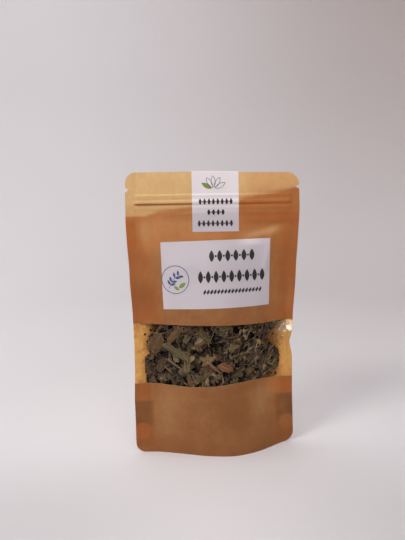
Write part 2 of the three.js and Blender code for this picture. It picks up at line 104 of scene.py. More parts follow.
# Creases of the sheets: from (u, v) to (u, v), half width, height outwards.
CREASES = {
    FRONT: [
        (49, 153.6, 21, 144, 2.1, -0.55),
        (38, 147, 34, 124, 2.4, 0.65),
        (-50, 156.4, -14, 158.6, 1.2, 0.2),
        (-51, 151, -45.5, 137, 2.6, -0.5),
        (-43, 153, -37, 128, 3.4, 0.4),
        (-16, 143, -13.3, 141.5, 0.5, 0.25),
        (-30, 96, -46, 118, 4.0, 0.3),
        (40, 98, 46, 120, 3.5, 0.3),
        (-20, 154, 16, 155.5, 2.5, -0.25),
        (-47, 30, -38, 44, 3.0, -0.3),
        (46, 28, 38, 42, 3.0, -0.3),
    ],
    BACK: [
        (-46, 150, -30, 132, 1.8, 0.95),
        (47, 152, 36, 134, 1.65, 0.85),
        (-12, 150, 22, 146, 1.95, 0.4),
        (-38, 118, -46, 84, 2.62, -0.55),
        (30, 112, 44, 80, 2.4, -0.5),
        (-25, 60, 18, 52, 3, -0.95),
        (10, 98, 34, 72, 2.4, 0.76),
        (-34, 90, -8, 108, 2.55, 0.76),
        (-47, 36, -20, 44, 1.5, -0.66),
        (47, 36, 16, 45, 1.5, -0.66),
        (-8, 30, 4, 4, 3, 0.66),
        (26, 28, 34, 6, 2.55, 0.57),
    ],
}


def smooth(t):
    """0 below 0, 1 above 1, and a smooth step between."""
    t = np.clip(t, 0, 1)
    return t * t * (3 - 2 * t)


def within(value, low, high, soft):
    """1 between low and high, fading over soft at both ends."""
    return smooth((value - low) / soft + 0.5) * smooth((high - value) / soft + 0.5)


def bell(apart, reach, power=2):
    """1 where apart is 0, falling off over reach to both sides."""
    return np.exp(-((apart / reach) ** power))


def spot(u, v, at_u, at_v, reach_u, reach_v):
    """1 at a place on a sheet, falling off over one reach across and another up."""
    return np.exp(-(((u - at_u) / reach_u) ** 2) - ((v - at_v) / reach_v) ** 2)


def spots(u, v, table):
    """The sum of spots, each given as u, v, reach across and up, and how much."""
    return sum(much * spot(u, v, *place) for *place, much in table)


def looked_up(table, at):
    """A value from a table of (place, value) pairs, even between them."""
    return np.interp(at, *zip(*table))


def filled(measure, v):
    """One measure of the filled shape at height v."""
    heights, values = (np.array(STATIONS[k], float) for k in ("v", measure))
    i = np.clip(np.searchsorted(heights, v, side="right") - 1, 0, len(heights) - 2)
    t = smooth((v - heights[i]) / (heights[i + 1] - heights[i]))
    return values[i] + (values[i + 1] - values[i]) * t


def bulge(t, v, side):
    """How far a face stands out at a share t of the way to a side seal."""
    fall = np.maximum(0, 1 - t * t)
    if side == BACK:
        return filled("depth", v) * fall**BACK_POWER
    return filled("depth", v) * fall ** filled("power", v) * (1 + filled("skew", v) * t)


def zip_ends(u):
    """1 over the zip's length and 0 at its crushed ends."""
    return smooth((50.3 - np.abs(u)) / 2.8)


def zip_relief(u, v):
    """The rise over the zip: a low plateau over its flanges, a ridge over its rib and a soft roll below it."""
    low, high = ZIP_FLANGES
    plateau = 0.55 * smooth((v - low) / 3.4) * smooth(high - v)
    ridge = 1.05 * bell(v - ZIP_V, 1.3, 4)
    roll = 0.4 * bell(v - ZIP_V + 3.5, 1.4)
    lip = 0.22 * bell(v - high + 1.2, 0.7)
    return zip_ends(u) * (plateau + ridge + roll + lip)


def crease(u, v, side):
    """The small folds of a sheet, fading towards the side seals."""
    total = 0.12 * np.sin(0.13 * u + 0.05 * v + side) * np.sin(0.045 * v - 0.03 * u + 1.7)
    total += 0.07 * np.sin(0.31 * u - 0.12 * v + 2 * side)
    for u0, v0, u1, v1, reach, height in CREASES[side]:
        run, rise = u1 - u0, v1 - v0
        near = np.clip(((u - u0) * run + (v - v0) * rise) / (run**2 + rise**2), 0, 1)
        apart = np.hypot(u - u0 - near * run, v - v0 - near * rise)
        if reach < SHARP_REACH:
            total += height * np.exp(0.15 - np.sqrt(apart**2 / reach**2 + 0.02))
        else:
            total += height * bell(apart, reach)
    return total * smooth((BODY - np.abs(u)) / SEAL_FADE)


def seal_edge(u):
    """The fine ridge along the inner edge of the side seals."""
    past = np.abs(u) - BODY
    return 0.16 * bell(past, 0.42) - 0.08 * smooth(past / 0.5)


def middle(u, v):
    """The sheet through the side seals: a slight twist at the base and a flap that leans back."""
    return TWIST_SLOPE * u * (1 - smooth(v / TWIST_V)) + LEAN_CURVE * np.maximum(0, v - LEAN_V) ** 2


def pressed(u):
    """How loosely the layers lie in the lower side seals: pressed flat towards the cut edge."""
    return 1 - 0.6 * smooth((np.abs(u) - 49) / 3)


def fin_twist(u, v):
    """The right side seal is turned a little above its pinch, both sheets together."""
    across = v - 85 - 0.75 * (u - 49)
    return 0.6 * np.tanh(across / 3) * smooth((u - 42) / 7) * bell(v - 84, 6.5)


def flap_wave(u, v):
    """The flap above the zip waves a little, both sheets together."""
    return 0.35 * np.sin(0.075 * u + 0.6) * smooth((v - 168) / 14)


def chord(v):
    """Half the straight width that the bulging sheets leave between the side seals."""
    return BODY - (2 / 3) * filled("depth", v) ** 2 / BODY


def stand(u, v, side, offset):
    """Where flat points (u, v) come to once the pouch is filled, as rows of x, y, z in millimetres."""
    u, v = np.broadcast_arrays(np.asarray(u, float), np.asarray(v, float))
    t = np.clip(u / BODY, -1, 1)
    fins = FIN_GAP * (1 - smooth((v - FOLD - 1) / 4)) * pressed(u)
    depth = bulge(t, v, side) + fins + zip_relief(u, v) + crease(u, v, side) + seal_edge(u)
    if side == FRONT:
        depth = depth + FOOT_SWELL * (1 - t * t) * bell(v, 16)
    pinch = PINCH_DEPTH * smooth((u - PINCH_U) / (HALF - PINCH_U)) * bell(v - PINCH_V, PINCH_REACH)
    x = t * chord(v) + (u - t * BODY) - pinch
    for edge, sign in (("right", 1), ("left", -1)):
        share = smooth((sign * u - WANDER_FROM) / WANDER_REACH)
        x += sign * share * np.interp(v, EDGE_WANDER["v"], EDGE_WANDER[edge])
    y = middle(u, v) + flap_wave(u, v) + fin_twist(u, v) + side * (depth + offset) + SHIFT_Y
    z = v + (MOUTH_RISE - MOUTH_FALL * smooth((u + 30) / 80)) * smooth((v - 168) / 17)
    return np.stack([x, y, z], -1)


def half_width(v, right):
    """Half the flat width at height v, with rounded corners and the two tear notches."""
    foot, top, notch_v = (np.where(right, pair[1], pair[0]) for pair in (FOOT_CORNER, TOP_CORNER, NOTCH_V))
    radius = np.where(v < HEIGHT / 2, foot, top)
    into = np.clip(np.maximum(foot - v, v - (HEIGHT - top)), 0, radius)
    notch = NOTCH_DEPTH * np.maximum(0, 1 - np.abs(v - notch_v) / NOTCH_HALF)
    return HALF - (radius - np.sqrt(radius**2 - into**2)) - notch


# ---- colours ----


def srgb(red, green, blue):
    """A screen colour, 0 to 255, as Blender's linear colour."""

    def linear(c):
        c /= 255
        return c / 12.92 if c <= 0.04045 else ((c + 0.055) / 1.055) ** 2.4

    return (linear(red), linear(green), linear(blue))


def colour_setting(name, description, default):
    return bpy.props.FloatVectorProperty(
        name=name, description=description, subtype="COLOR", size=3, min=0, max=1, default=default
    )


def length_setting(name, description, default):
    return bpy.props.FloatProperty(
        name=name, description=description, default=default, min=0, unit="LENGTH", subtype="DISTANCE"
    )


def amount_setting(name, description, default, unit="POWER"):
    return bpy.props.FloatProperty(name=name, description=description, default=default, min=0, unit=unit)


def count_setting(name, description, default):
    return bpy.props.IntProperty(name=name, description=description, default=default, min=0)


class PaperSettings(bpy.types.PropertyGroup):
    """The paper's grid step, and the colours of the paper, the labels and the print."""

    grid: length_setting("Grid step", "Spacing of the points of a paper sheet", 0.0009)
    # The deep, filled, empty, sealed and warm tones and the two label whites are blended by painted light and shade:
    # how much light shines through and how the sheets face the lamps.
    deep_tone: colour_setting("Deep tone", "Kraft paper over several layers and dark leaves", (0.198, 0.077, 0.027))
    filled_tone: colour_setting("Filled tone", "Kraft paper with dark leaves right behind it", (0.302, 0.124, 0.045))
    empty_tone: colour_setting("Empty tone", "Kraft paper that light shines through", (0.800, 0.525, 0.235))
    sealed_tone: colour_setting("Sealed tone", "Kraft paper where both walls lie together", (0.390, 0.122, 0.032))
    warm_tone: colour_setting("Warm tone", "Kraft paper that light grazes through below the zip", (0.560, 0.165, 0.035))
    lined_tone: colour_setting("Lined tone", "The film lined inside of the kraft paper", (0.700, 0.365, 0.090))
    # The darker lining: its own mottle, and painted shade close to the leaves.
    lining_mottle_and_shade_tone: colour_setting("Lining mottle and shade", "The lining where it lies close to the leaves", (0.400, 0.150, 0.030))
    label: colour_setting("Label", "White sticker paper over an empty part", (0.880, 0.815, 0.835))
    dim_label: colour_setting("Dim label", "White sticker paper over the leaves", (0.565, 0.515, 0.545))
    ink: colour_setting("Ink", "Dark print", srgb(26, 24, 26))
    blue_ink: colour_setting("Blue ink", "Blue print", srgb(60, 80, 130))
    green_ink: colour_setting("Green ink", "Green print", srgb(126, 146, 62))


class LeafSettings(bpy.types.PropertyGroup):
    """The crushed leaves."""

    seed: count_setting("Seed", "Changes how the leaves fall", 7)
    flakes: count_setting("Flakes", "Number of leaf flakes behind the window", 1300)
    streaks: count_setting("Streaks", "Number of rolled, narrow scraps", 800)
    twigs: count_setting("Twigs", "Number of fine stalks", 60)
    thickness: length_setting("Leaf thickness", "Thickness of a dry leaf", 0.00018)


class StageSettings(bpy.types.PropertyGroup):
    """The studio around the pouch."""

    sweep: colour_setting("Sweep", "Pale seamless backdrop", (0.78, 0.765, 0.775))
    sky: amount_setting("Sky", "Strength of the even light", 0.86, "NONE")
    key: amount_setting("Key", "Power of the soft light at the left", 7.6)
    fill: amount_setting("Fill", "Power of the broad light in front", 1.75)
    wash: amount_setting("Wash", "Power of the light on the wall behind", 2.15)
    radius: length_setting("Sweep radius", "Distance at which the floor turns up into the wall", 0.6)


# ---- node building ----


def feed(tree, node, inputs):
    """Gives a node's inputs their values, or links them where the value is a socket."""
    for key, value in inputs.items():
        if isinstance(value, bpy.types.NodeSocket):
            tree.links.new(value, node.inputs[key])
        elif hasattr(value, "__len__") and len(value) == 3 and node.inputs[key].type == "RGBA":
            node.inputs[key].default_value = (*value, 1)
        else:
            node.inputs[key].default_value = value


def put(tree, kind, settings=None, inputs=None):
    """Adds a node with its settings and what its inputs are given."""
    made = tree.nodes.new(kind)
    for key, value in (settings or {}).items():
        setattr(made, key, value)
    feed(tree, made, inputs or {})
    return made


def blend_colour(tree, factor, first, second, mode="MIX"):
    """A Mix node of two colours; returns its colour socket."""
    made = put(tree, "ShaderNodeMix", {"data_type": "RGBA", "blend_type": mode}, {0: factor, 6: first, 7: second})
    return made.outputs[2]


def shaded(tree, colour, shade):
    """A colour made lighter or darker by a value."""
    grey = put(tree, "ShaderNodeCombineXYZ", None, {0: shade, 1: shade, 2: shade}).outputs[0]
    return blend_colour(tree, 1.0, colour, grey, "MULTIPLY")


def ranged(tree, value, low, high, to_low, to_high, smooth_step=False):
    """Maps a value from one range to another."""
    kind = {"interpolation_type": "SMOOTHSTEP" if smooth_step else "LINEAR"}
    return put(tree, "ShaderNodeMapRange", kind, {0: value, 1: low, 2: high, 3: to_low, 4: to_high}).outputs[0]


def arithmetic(tree, operation, first, *others):
    """A value worked out from one value, or from several in turn."""
    for other in others or (0.0,):
        first = put(tree, "ShaderNodeMath", {"operation": operation}, {0: first, 1: other}).outputs[0]
    return first


def times(tree, *values):
    return arithmetic(tree, "MULTIPLY", *values)


def plus(tree, *values):
    return arithmetic(tree, "ADD", *values)


def largest(tree, *values):
    return arithmetic(tree, "MAXIMUM", *values)


def from_half(tree, value):
    """How far a value lies from a half, to either side."""
    return arithmetic(tree, "ABSOLUTE", arithmetic(tree, "SUBTRACT", value, 0.5))


def noise(tree, where, scale, detail=2.0, roughness=0.5, distortion=0.0):
    inputs = {"Vector": where, "Scale": scale, "Detail": detail, "Roughness": roughness, "Distortion": distortion}
    return put(tree, "ShaderNodeTexNoise", None, inputs).outputs["Fac"]


def attribute(tree, name, output="Fac"):
    """A value or colour that the points of a piece carry."""
    return put(tree, "ShaderNodeAttribute", {"attribute_name": name}).outputs[output]


def object_place(tree):
    return put(tree, "ShaderNodeTexCoord").outputs["Object"]


def effect_group(name, inputs, outputs):
    """An empty node group with named sockets, given as (name, kind, default)."""
    group = bpy.data.node_groups.new(name, "ShaderNodeTree")
    for label, kind, default in inputs:
        socket = group.interface.new_socket(label, in_out="INPUT", socket_type=kind)
        if default is not None:
            socket.default_value = default
    for label, kind in outputs:
        group.interface.new_socket(label, in_out="OUTPUT", socket_type=kind)
    return group, group.nodes.new("NodeGroupInput"), group.nodes.new("NodeGroupOutput")


def paper_grain_group():
    """Mottling, fibres and specks of pulp; puts out masks around 0.5 and a height."""
    group, given, result = effect_group(
        "Paper grain",
        [("Mottle scale", "NodeSocketFloat", 70.0), ("Fibre scale", "NodeSocketFloat", 900.0)],
        [("Mottle", "NodeSocketFloat"), ("Fibre", "NodeSocketFloat"), ("Height", "NodeSocketFloat")],
    )
    where = object_place(group)
    broad = noise(group, where, given.outputs["Mottle scale"], 3, 0.55)
    fine = noise(group, where, times(group, given.outputs["Mottle scale"], 5.5), 3, 0.6)
    fibres = []
    for k, turn in enumerate((0.35, 1.25, -0.6)):
        laid = {"Vector": where, "Location": (0.3 * k, 0, 0.7 * k), "Rotation": (0, turn, 0), "Scale": (1, 1, 0.16)}
        laid = put(group, "ShaderNodeMapping", None, laid).outputs[0]
        fibres.append(noise(group, laid, given.outputs["Fibre scale"], 2, 0.5))
    fibre = ranged(group, largest(group, *fibres), 0.42, 0.78, 0, 1)
    mottle = plus(group, times(group, broad, 0.7), times(group, fine, 0.3))
    height = plus(group, times(group, fibre, 0.6), times(group, fine, 0.6))
    feed(group, result, {"Mottle": mottle, "Fibre": fibre, "Height": height})
    return group


def leaf_flesh_group():
    """A dry leaf's face: a paler midrib and side veins from the UV map, mottling and a crinkled height."""
    group, given, result = effect_group(
        "Leaf flesh",
        [("Tint", "NodeSocketColor", (0.1, 0.08, 0.05, 1)), ("Veins", "NodeSocketFloat", 0.5)],
        [("Colour", "NodeSocketColor"), ("Height", "NodeSocketFloat")],
    )
    coordinates = put(group, "ShaderNodeTexCoord").outputs
    flat = put(group, "ShaderNodeSeparateXYZ", None, {0: coordinates["UV"]}).outputs
    across, along = from_half(group, flat["Y"]), from_half(group, flat["X"])
    midrib = ranged(group, across, 0.0, 0.06, 1, 0, True)
    slant = arithmetic(group, "SUBTRACT", times(group, flat["X"], 11), times(group, across, 9))
    stripe = from_half(group, arithmetic(group, "FRACT", slant))
    side_vein = times(group, ranged(group, stripe, 0.0, 0.12, 1, 0, True), 0.5)
    rim = largest(group, ranged(group, across, 0.36, 0.48, 0, 1, True), ranged(group, along, 0.42, 0.49, 0, 1, True))
    veins = largest(group, midrib, side_vein, times(group, rim, 0.8))
    veins = times(group, veins, given.outputs["Veins"])
    blotch = noise(group, coordinates["Object"], 420, 4, 0.62)
    speck = noise(group, coordinates["Object"], 1900, 2, 0.6)
    shade = times(group, ranged(group, blotch, 0.3, 0.7, 0.72, 1.3), ranged(group, speck, 0.3, 0.7, 0.88, 1.12))
    coloured = shaded(group, given.outputs["Tint"], shade)
    paler = blend_colour(group, 1.0, coloured, (2.1, 2.05, 1.95), "MULTIPLY")
    height = plus(group, times(group, veins, 0.5), blotch)
    feed(group, result, {"Colour": blend_colour(group, veins, coloured, paler), "Height": height})
    return group


def put_group(tree, name, build, inputs=None):
    """A node that stands for a shared group, which is built the first time it is asked for."""
    return put(tree, "ShaderNodeGroup", {"node_tree": bpy.data.node_groups.get(name) or build()}, inputs)


def material_of(name, paint, *given):
    """The material of this name. Its nodes are set up by paint the first time it is asked for."""
    material = bpy.data.materials.get(name)
    if material is None:
        material = bpy.data.materials.new(name)
        material.use_nodes = True
        tree = material.node_tree
        tree.nodes.clear()
        shader = tree.nodes.new("ShaderNodeBsdfPrincipled")
        output = tree.nodes.new("ShaderNodeOutputMaterial")
        tree.links.new(shader.outputs[0], output.inputs[0])
        paint(tree, shader, *given)
    return material


def set_bump(tree, shader, height, distance, socket="Normal"):
    bump = put(tree, "ShaderNodeBump", None, {"Strength": 1.0, "Distance": distance, "Height": height})
    tree.links.new(bump.outputs[0], shader.inputs[socket])


def paint_kraft(tree, shader, inside):
    """Kraft paper. Its tone is painted light and shade: it follows how much light shines through, dark leaves behind it
    or nothing, and how the sheet faces the lamps.
    """
    look = bpy.context.scene.pouch_paper
    grain = put_group(tree, "Paper grain", paper_grain_group)
    mottle, fibre = grain.outputs["Mottle"], grain.outputs["Fibre"]
    if inside:
        # The lining darkens with its own mottle and with painted shade close to the leaves.
        mottle_and_shade = plus(tree, ranged(tree, mottle, 0.44, 0.68, 0, 0.8, True), attribute(tree, "close"))
        base = blend_colour(tree, mottle_and_shade, look.lined_tone, look.lining_mottle_and_shade_tone)
        roughness, specular = ranged(tree, mottle, 0.3, 0.7, 0.2, 0.34), 0.5
        set_bump(tree, shader, mottle, 0.004)
    else:
        uneven = times(tree, arithmetic(tree, "SUBTRACT", mottle, 0.5), 0.16)
        # Painted light and shade, with a little mottle, blends the deep, filled and empty tones.
        painted_light = plus(tree, attribute(tree, "painted_light"), uneven)
        base = blend_colour(tree, ranged(tree, painted_light, 0, OVER_LEAVES, 0, 1), look.deep_tone, look.filled_tone)
        base = blend_colour(tree, ranged(tree, painted_light, OVER_LEAVES, 1, 0, 1), base, look.empty_tone)
        base = blend_colour(tree, attribute(tree, "sealed"), base, look.sealed_tone)
        base = blend_colour(tree, attribute(tree, "warm"), base, look.warm_tone)
        roughness, specular = ranged(tree, fibre, 0, 1, 0.66, 0.54), 0.1
        set_bump(tree, shader, grain.outputs["Height"], 0.00004)
    depth = times(tree, ranged(tree, mottle, 0.3, 0.7, 0.93, 1.07), ranged(tree, fibre, 0, 1, 0.975, 1.035))
    colour = shaded(tree, base, depth)
    feed(tree, shader, {"Base Color": colour, "Roughness": roughness, "Specular IOR Level": specular})


def paint_cut_edge(tree, shader):
    """The pale cut edge of the paper, with the layers of its pulp."""
    fibre = put_group(tree, "Paper grain", paper_grain_group).outputs["Fibre"]
    colour = blend_colour(tree, fibre, (0.50, 0.30, 0.15), (0.68, 0.45, 0.25))
    feed(tree, shader, {"Base Color": colour, "Roughness": 0.8})
    set_bump(tree, shader, fibre, 0.00005)


def kraft_layers():
    """The paper's outside, its lined inside and its cut edge."""
    return (
        material_of("Kraft paper", paint_kraft, False),
        material_of("Kraft lining", paint_kraft, True),
        material_of("Kraft cut edge", paint_cut_edge),
    )


# The height of the film's bumps, in metres.
FILM_BUMP = 0.0022


def paint_film(tree, shader):
    """Clear glossy film with faint ripples and a little haze; its coat shows where a lamp is mirrored."""
    where = object_place(tree)
    gloss, slack = attribute(tree, "gloss"), attribute(tree, "slack")
    haze = ranged(tree, noise(tree, where, 900, 3, 0.6), 0.35, 0.75, 0.1, 1)
    inputs = {
        "Base Color": (1, 0.985, 0.96),
        "Transmission Weight": 1.0,
        "IOR": 1.1,
        "Roughness": times(tree, haze, ranged(tree, slack, 0, 1, 0.02, 0.12)),
        "Coat Weight": gloss,
        "Coat Roughness": 0.32,
        "Coat IOR": 2.4,
    }
    feed(tree, shader, inputs)
    crinkle = times(tree, noise(tree, where, 240, 2, 0.45, 0.5), arithmetic(tree, "SUBTRACT", slack, gloss))
    ripple = times(tree, noise(tree, where, 130, 2, 0.45), 0.25)
    set_bump(tree, shader, plus(tree, crinkle, ripple), FILM_BUMP)
    set_bump(tree, shader, attribute(tree, "facet"), FILM_BUMP, "Coat Normal")


def paint_label(tree, shader):
    """Smooth white sticker paper with a very fine tooth."""
    look = bpy.context.scene.pouch_paper
    grain = put_group(tree, "Paper grain", paper_grain_group, {"Mottle scale": 45.0, "Fibre scale": 1500.0})
    mottle = grain.outputs["Mottle"]
    # The white is chosen by painted light and shade: dimmer over the leaves, lighter where light shines through.
    colour = blend_colour(tree, attribute(tree, "painted_light"), look.dim_label, look.label)
    colour = shaded(tree, colour, ranged(tree, mottle, 0.3, 0.7, 0.985, 1.01))
    feed(tree, shader, {"Base Color": colour, "Roughness": ranged(tree, mottle, 0.3, 0.7, 0.42, 0.55)})
    set_bump(tree, shader, grain.outputs["Height"], 0.00002)


def paint_ink(tree, shader, colour):
    """Printed ink, slightly uneven where the paper's tooth takes less of it."""
    worn = ranged(tree, noise(tree, object_place(tree), 2600, 2, 0.6), 0.5, 0.8, 0, 0.6)
    paler = tuple(0.88 * c + 0.12 * 0.4 for c in colour)
    feed(tree, shader, {"Base Color": blend_colour(tree, worn, colour, paler), "Roughness": 0.5})


def paint_zip(tree, shader):
    """Milky polyethylene with faint drawing lines."""
    drawn = put(tree, "ShaderNodeMapping", None, {"Vector": object_place(tree), "Scale": (0.05, 1, 1)}).outputs[0]
    lines = noise(tree, drawn, 2500, 2, 0.5)
    colour = blend_colour(tree, lines, (0.72, 0.71, 0.68), (0.84, 0.83, 0.80))
    feed(tree, shader, {"Base Color": colour, "Roughness": ranged(tree, lines, 0.3, 0.7, 0.28, 0.42)})
    feed(tree, shader, {"Subsurface Weight": 0.2, "Subsurface Scale": 0.001})
    set_bump(tree, shader, lines, 0.00003)


def paint_leaf(tree, shader, veins, roughness, tint):
    """Dry leaf. The tint comes from the piece's own attribute, or is one colour for a single leaf."""
    given = {"Tint": tint or attribute(tree, "tint", "Color"), "Veins": veins}
    flesh = put_group(tree, "Leaf flesh", leaf_flesh_group, given).outputs
    feed(tree, shader, {"Base Color": flesh["Colour"], "Roughness": roughness, "Specular IOR Level": 0.15})
    set_bump(tree, shader, flesh["Height"], 0.0004)


def leaf_material(name, veins=0.6, roughness=0.72, tint=None):
    return material_of(name, paint_leaf, veins, roughness, tint)


def paint_stalk(tree, shader):
    """Dry woody stalk: long grain and darker nodes."""
    grain = noise(tree, object_place(tree), 1500, 3, 0.6)
    patch = noise(tree, object_place(tree), 260, 2, 0.5)
    colour = blend_colour(tree, ranged(tree, grain, 0.35, 0.65, 0, 1), (0.075, 0.050, 0.030), (0.23, 0.165, 0.105))
    colour = blend_colour(tree, ranged(tree, patch, 0.4, 0.7, 0, 0.7), colour, (0.10, 0.075, 0.045))
    feed(tree, shader, {"Base Color": colour, "Roughness": 0.7})
    set_bump(tree, shader, grain, 0.0002)


def paint_sweep(tree, shader, pale):
    """Pale paper with painted light: painted shade, a little warmer, far to the right, painted light around the pouch
    and painted shade right in front of it.
    """
    where = object_place(tree)
    place = put(tree, "ShaderNodeSeparateXYZ", None, {0: where}).outputs
    colour = blend_colour(tree, noise(tree, where, 6, 2, 0.5), tuple(0.985 * c for c in pale), pale)
    # Painted shade far to the right, more up the wall and further back.
    shade_far_right = times(
        tree,
        ranged(tree, place["X"], -0.45, 0.75, 0, 1, True),
        ranged(tree, place["Z"], 0.1, 0.8, 0.55, 1.15),
        ranged(tree, place["Y"], -0.1, 0.9, 0.2, 1),
    )
    colour = blend_colour(tree, shade_far_right, colour, tuple(0.6 * c * t for c, t in zip(pale, (1.08, 0.97, 0.94))))
    # Painted light on the floor around the pouch.
    apart = put(tree, "ShaderNodeVectorMath", {"operation": "LENGTH"}, {0: where}).outputs["Value"]
    near = ranged(tree, apart, 0.05, 0.22, 1, 0, True)
    colour = blend_colour(tree, near, colour, tuple(1.07 * c for c in pale))
    # Painted shade on the floor in front of the pouch, most to its sides.
    front = ranged(tree, place["Y"], 0.02, -0.08, 0, 0.17, True)
    aside = ranged(tree, arithmetic(tree, "ABSOLUTE", place["X"]), 0.0, 0.1, 0.25, 1, True)
    colour = blend_colour(tree, times(tree, front, aside), colour, (0, 0, 0))
    feed(tree, shader, {"Base Color": colour, "Roughness": 0.7, "Specular IOR Level": 0.2})
    set_bump(tree, shader, noise(tree, where, 900, 2, 0.5), 0.00003)


# ---- mesh building ----


def deselect_all():
    if bpy.context.mode != "OBJECT":
        bpy.ops.object.mode_set(mode="OBJECT")
    bpy.ops.object.select_all(action="DESELECT")


def choose(piece):
    """Makes a piece the only selected one, and the active one."""
    deselect_all()
    piece.select_set(True)
    bpy.context.view_layer.objects.active = piece


def primitive(name, operator, **settings):
    """A new piece that starts as a primitive."""
    deselect_all()
    operator(**settings)
    piece = bpy.context.object
    piece.name = piece.data.name = name
    return piece


def add_object(name, data):
    """An object in the scene for a mesh, a lamp or a camera."""
    made = bpy.data.objects.new(name, data)
    bpy.context.scene.collection.objects.link(made)
    return made


def edit_whole(piece, operator, rounds=1, **settings):
    """Runs a mesh operator on all of a piece, once or several times over."""
    choose(piece)
    bpy.ops.object.mode_set(mode="EDIT")
    bpy.ops.mesh.select_all(action="SELECT")
    for _ in range(rounds):
        operator(**settings)
    bpy.ops.object.mode_set(mode="OBJECT")


def point_outwards(piece):
    edit_whole(piece, bpy.ops.mesh.normals_make_consistent, inside=False)


def points_of(piece):
    values = np.empty(len(piece.data.vertices) * 3, np.float32)
    piece.data.vertices.foreach_get("co", values)
    return values.reshape(-1, 3).astype(float)


def move_points(piece, places):
    piece.data.vertices.foreach_set("co", places.astype(np.float32).ravel())
    piece.data.update()


def set_attribute(piece, name, values):
    made = piece.data.attributes.new(name, "FLOAT", "POINT")
    made.data.foreach_set("value", values.astype(np.float32))


def thicken(piece, thickness, rim_materials=False):
    """Gives a sheet its thickness inwards, in millimetres, with materials of its own for the inside and the rim."""
    wall = piece.modifiers.new("Thickness", "SOLIDIFY")
    wall.thickness, wall.offset = thickness * MM, -1
    if rim_materials:
        wall.material_offset, wall.material_offset_rim = 1, 2
    choose(piece)
    bpy.ops.object.modifier_apply(modifier=wall.name)


def smooth_by_angle(piece, degrees=35):
    choose(piece)
    bpy.ops.object.shade_smooth_by_angle(angle=math.radians(degrees))


def grid_piece(name, columns, rows):
    """A grid primitive; returns it with each point's column and row number."""
    settings = {"x_subdivisions": columns - 1, "y_subdivisions": rows - 1, "size": 1}
    piece = primitive(name, bpy.ops.mesh.primitive_grid_add, **settings)
    share = points_of(piece)[:, :2] + 0.5
    j = np.rint(share[:, 0] * (columns - 1)).astype(int)
    i = np.rint(share[:, 1] * (rows - 1)).astype(int)
    return piece, j, i


def finish_sheet(piece, layer, materials, backwards=False):
    """Gives a placed sheet its thickness inwards and its materials for the face, the lining and the edge."""
    if backwards:
        edit_whole(piece, bpy.ops.mesh.flip_normals)
    for material in materials:
        piece.data.materials.append(material)
    thicken(piece, layer[1] - layer[0], rim_materials=True)
    smooth_by_angle(piece)


def stepped(low, high, step, close=()):
    """Values from low to high about a step apart, and finer within each (from, to, step) of close."""
    values = set(np.linspace(low, high, max(2, int(round((high - low) / step)) + 1)))
    for a, b, fine in close:
        a, b = max(a, low), min(b, high)
        if b > a:
            values = {x for x in values if x < a - 0.3 * fine or x > b + 0.3 * fine or x in (low, high)}
            values |= set(np.linspace(a, b, max(2, int(round((b - a) / fine)) + 1)))
    return np.array(sorted(values))


def rounded_rows(rows, steps, spare):
    """The rows, with close ones in place of those at the round corners of the foot and the mouth."""
    curve = 1 - np.cos(np.linspace(0, math.pi / 2, steps))
    foot, top = max(FOOT_CORNER), max(TOP_CORNER)
    if rows[0] == 0:
        rows = np.concatenate([foot * curve, rows[rows > foot + spare]])
    if rows[-1] == HEIGHT:
        rows = np.concatenate([rows[rows < HEIGHT - top - spare], HEIGHT - top * curve[::-1]])
    return rows


# Where a sheet's rows lie close: from, to and step, over the zip and at the tear notches.
CLOSE_ROWS = [(157.6, 171.8, 0.34), (172.4, 177.0, 0.38)]


def sheet_rows(low, high, step):
    """Heights for a sheet's rows: close at the round corners, the notches and the zip."""
    return rounded_rows(stepped(low, high, step, CLOSE_ROWS), 13, 0.2)


def ride_as(piece, slot, *nodes):
    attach(piece, "root")
    if nodes:
        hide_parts(*nodes)


# The attribute of painted light and shade is 0 over several layers, this much over leaves, and 1 on the empty flap.
OVER_LEAVES = 0.25
# How far from the middle the gusset's round holes are punched.
PUNCH_U = 50.7
# The lower edge of the empty flap's painted light and how softly it fades, at places u; it climbs to the right, where
# the sheet below the zip turns from the light.
FLAP_EDGE = [(-55, 157.3), (-42, 157.8), (-33, 161.2), (-17, 162.9), (21, 168.2), (48, 173.6), (54, 175.2)]
FLAP_SOFT = [(-50, 1.8), (-42, 2.2), (-33, 5.5), (-17, 3.0), (21, 3.0), (36, 5.5), (48, 3.0)]
# Where the front below the window is lighter or darker: u, v, reach across and up, how much.
LOW_TONES = [(-35, 28, 9, 16, 0.10), (14, 27, 10, 14, -0.12), (32, 32, 9, 12, 0.12), (47, 28, 5, 8, 0.07),
             (54, 14, 3, 11, -0.18)]
# Spots of painted shade on the lining behind the window's ends: u, v, reach across and up, how much.
LINING_SHADE_SPOTS = [(-41, 86.5, 4.5, 3, 0.75), (-43, 68, 3.5, 3, 0.5), (40.5, 75.5, 4, 3.5, 0.75), (45, 71, 3.5, 3.5, 0.45),
          (46, 50.5, 6, 4, 0.35), (-48, 50, 4, 3, 0.2), (43, 81, 3, 3, 0.3), (-46, 60, 2.5, 8, 0.15)]


def flap_share(u, v):
    """1 on the empty flap, which is painted light, and 0 below it; the edge climbs to the right."""
    edge = looked_up(FLAP_EDGE, u) + 0.12 * np.sin(0.32 * u) + 0.08 * np.sin(0.9 * u + 1)
    return smooth((v - edge) / looked_up(FLAP_SOFT, u) + 0.5)


def lit_folds(u, v):
    """The folds of both shoulders that face the light."""
    streak = bell(v - 143.4 - 0.19 * (u - 16), 3.1)
    return 0.6 * spot(u, v, -43.5, 147, 4.5, 9) + 0.8 * smooth((u - 10) / 18) * smooth((46 - u) / 7) * streak


def zip_rib_shade(u, v, right):
    """Painted shade: the dark lines that the zip's rib draws on the front, under it, over it and along it; fainter at
    the right.
    """
    shade_under_rib = (0.75 * right - 0.9) * bell(v - ZIP_V + 1.1, 0.65)
    shade_over_rib = (0.18 * right - 0.2) * bell(v - ZIP_V - 2.2, 0.8)
    return (shade_under_rib + shade_over_rib - 0.06 * bell(v - ZIP_V, 1.2)) * zip_ends(u)


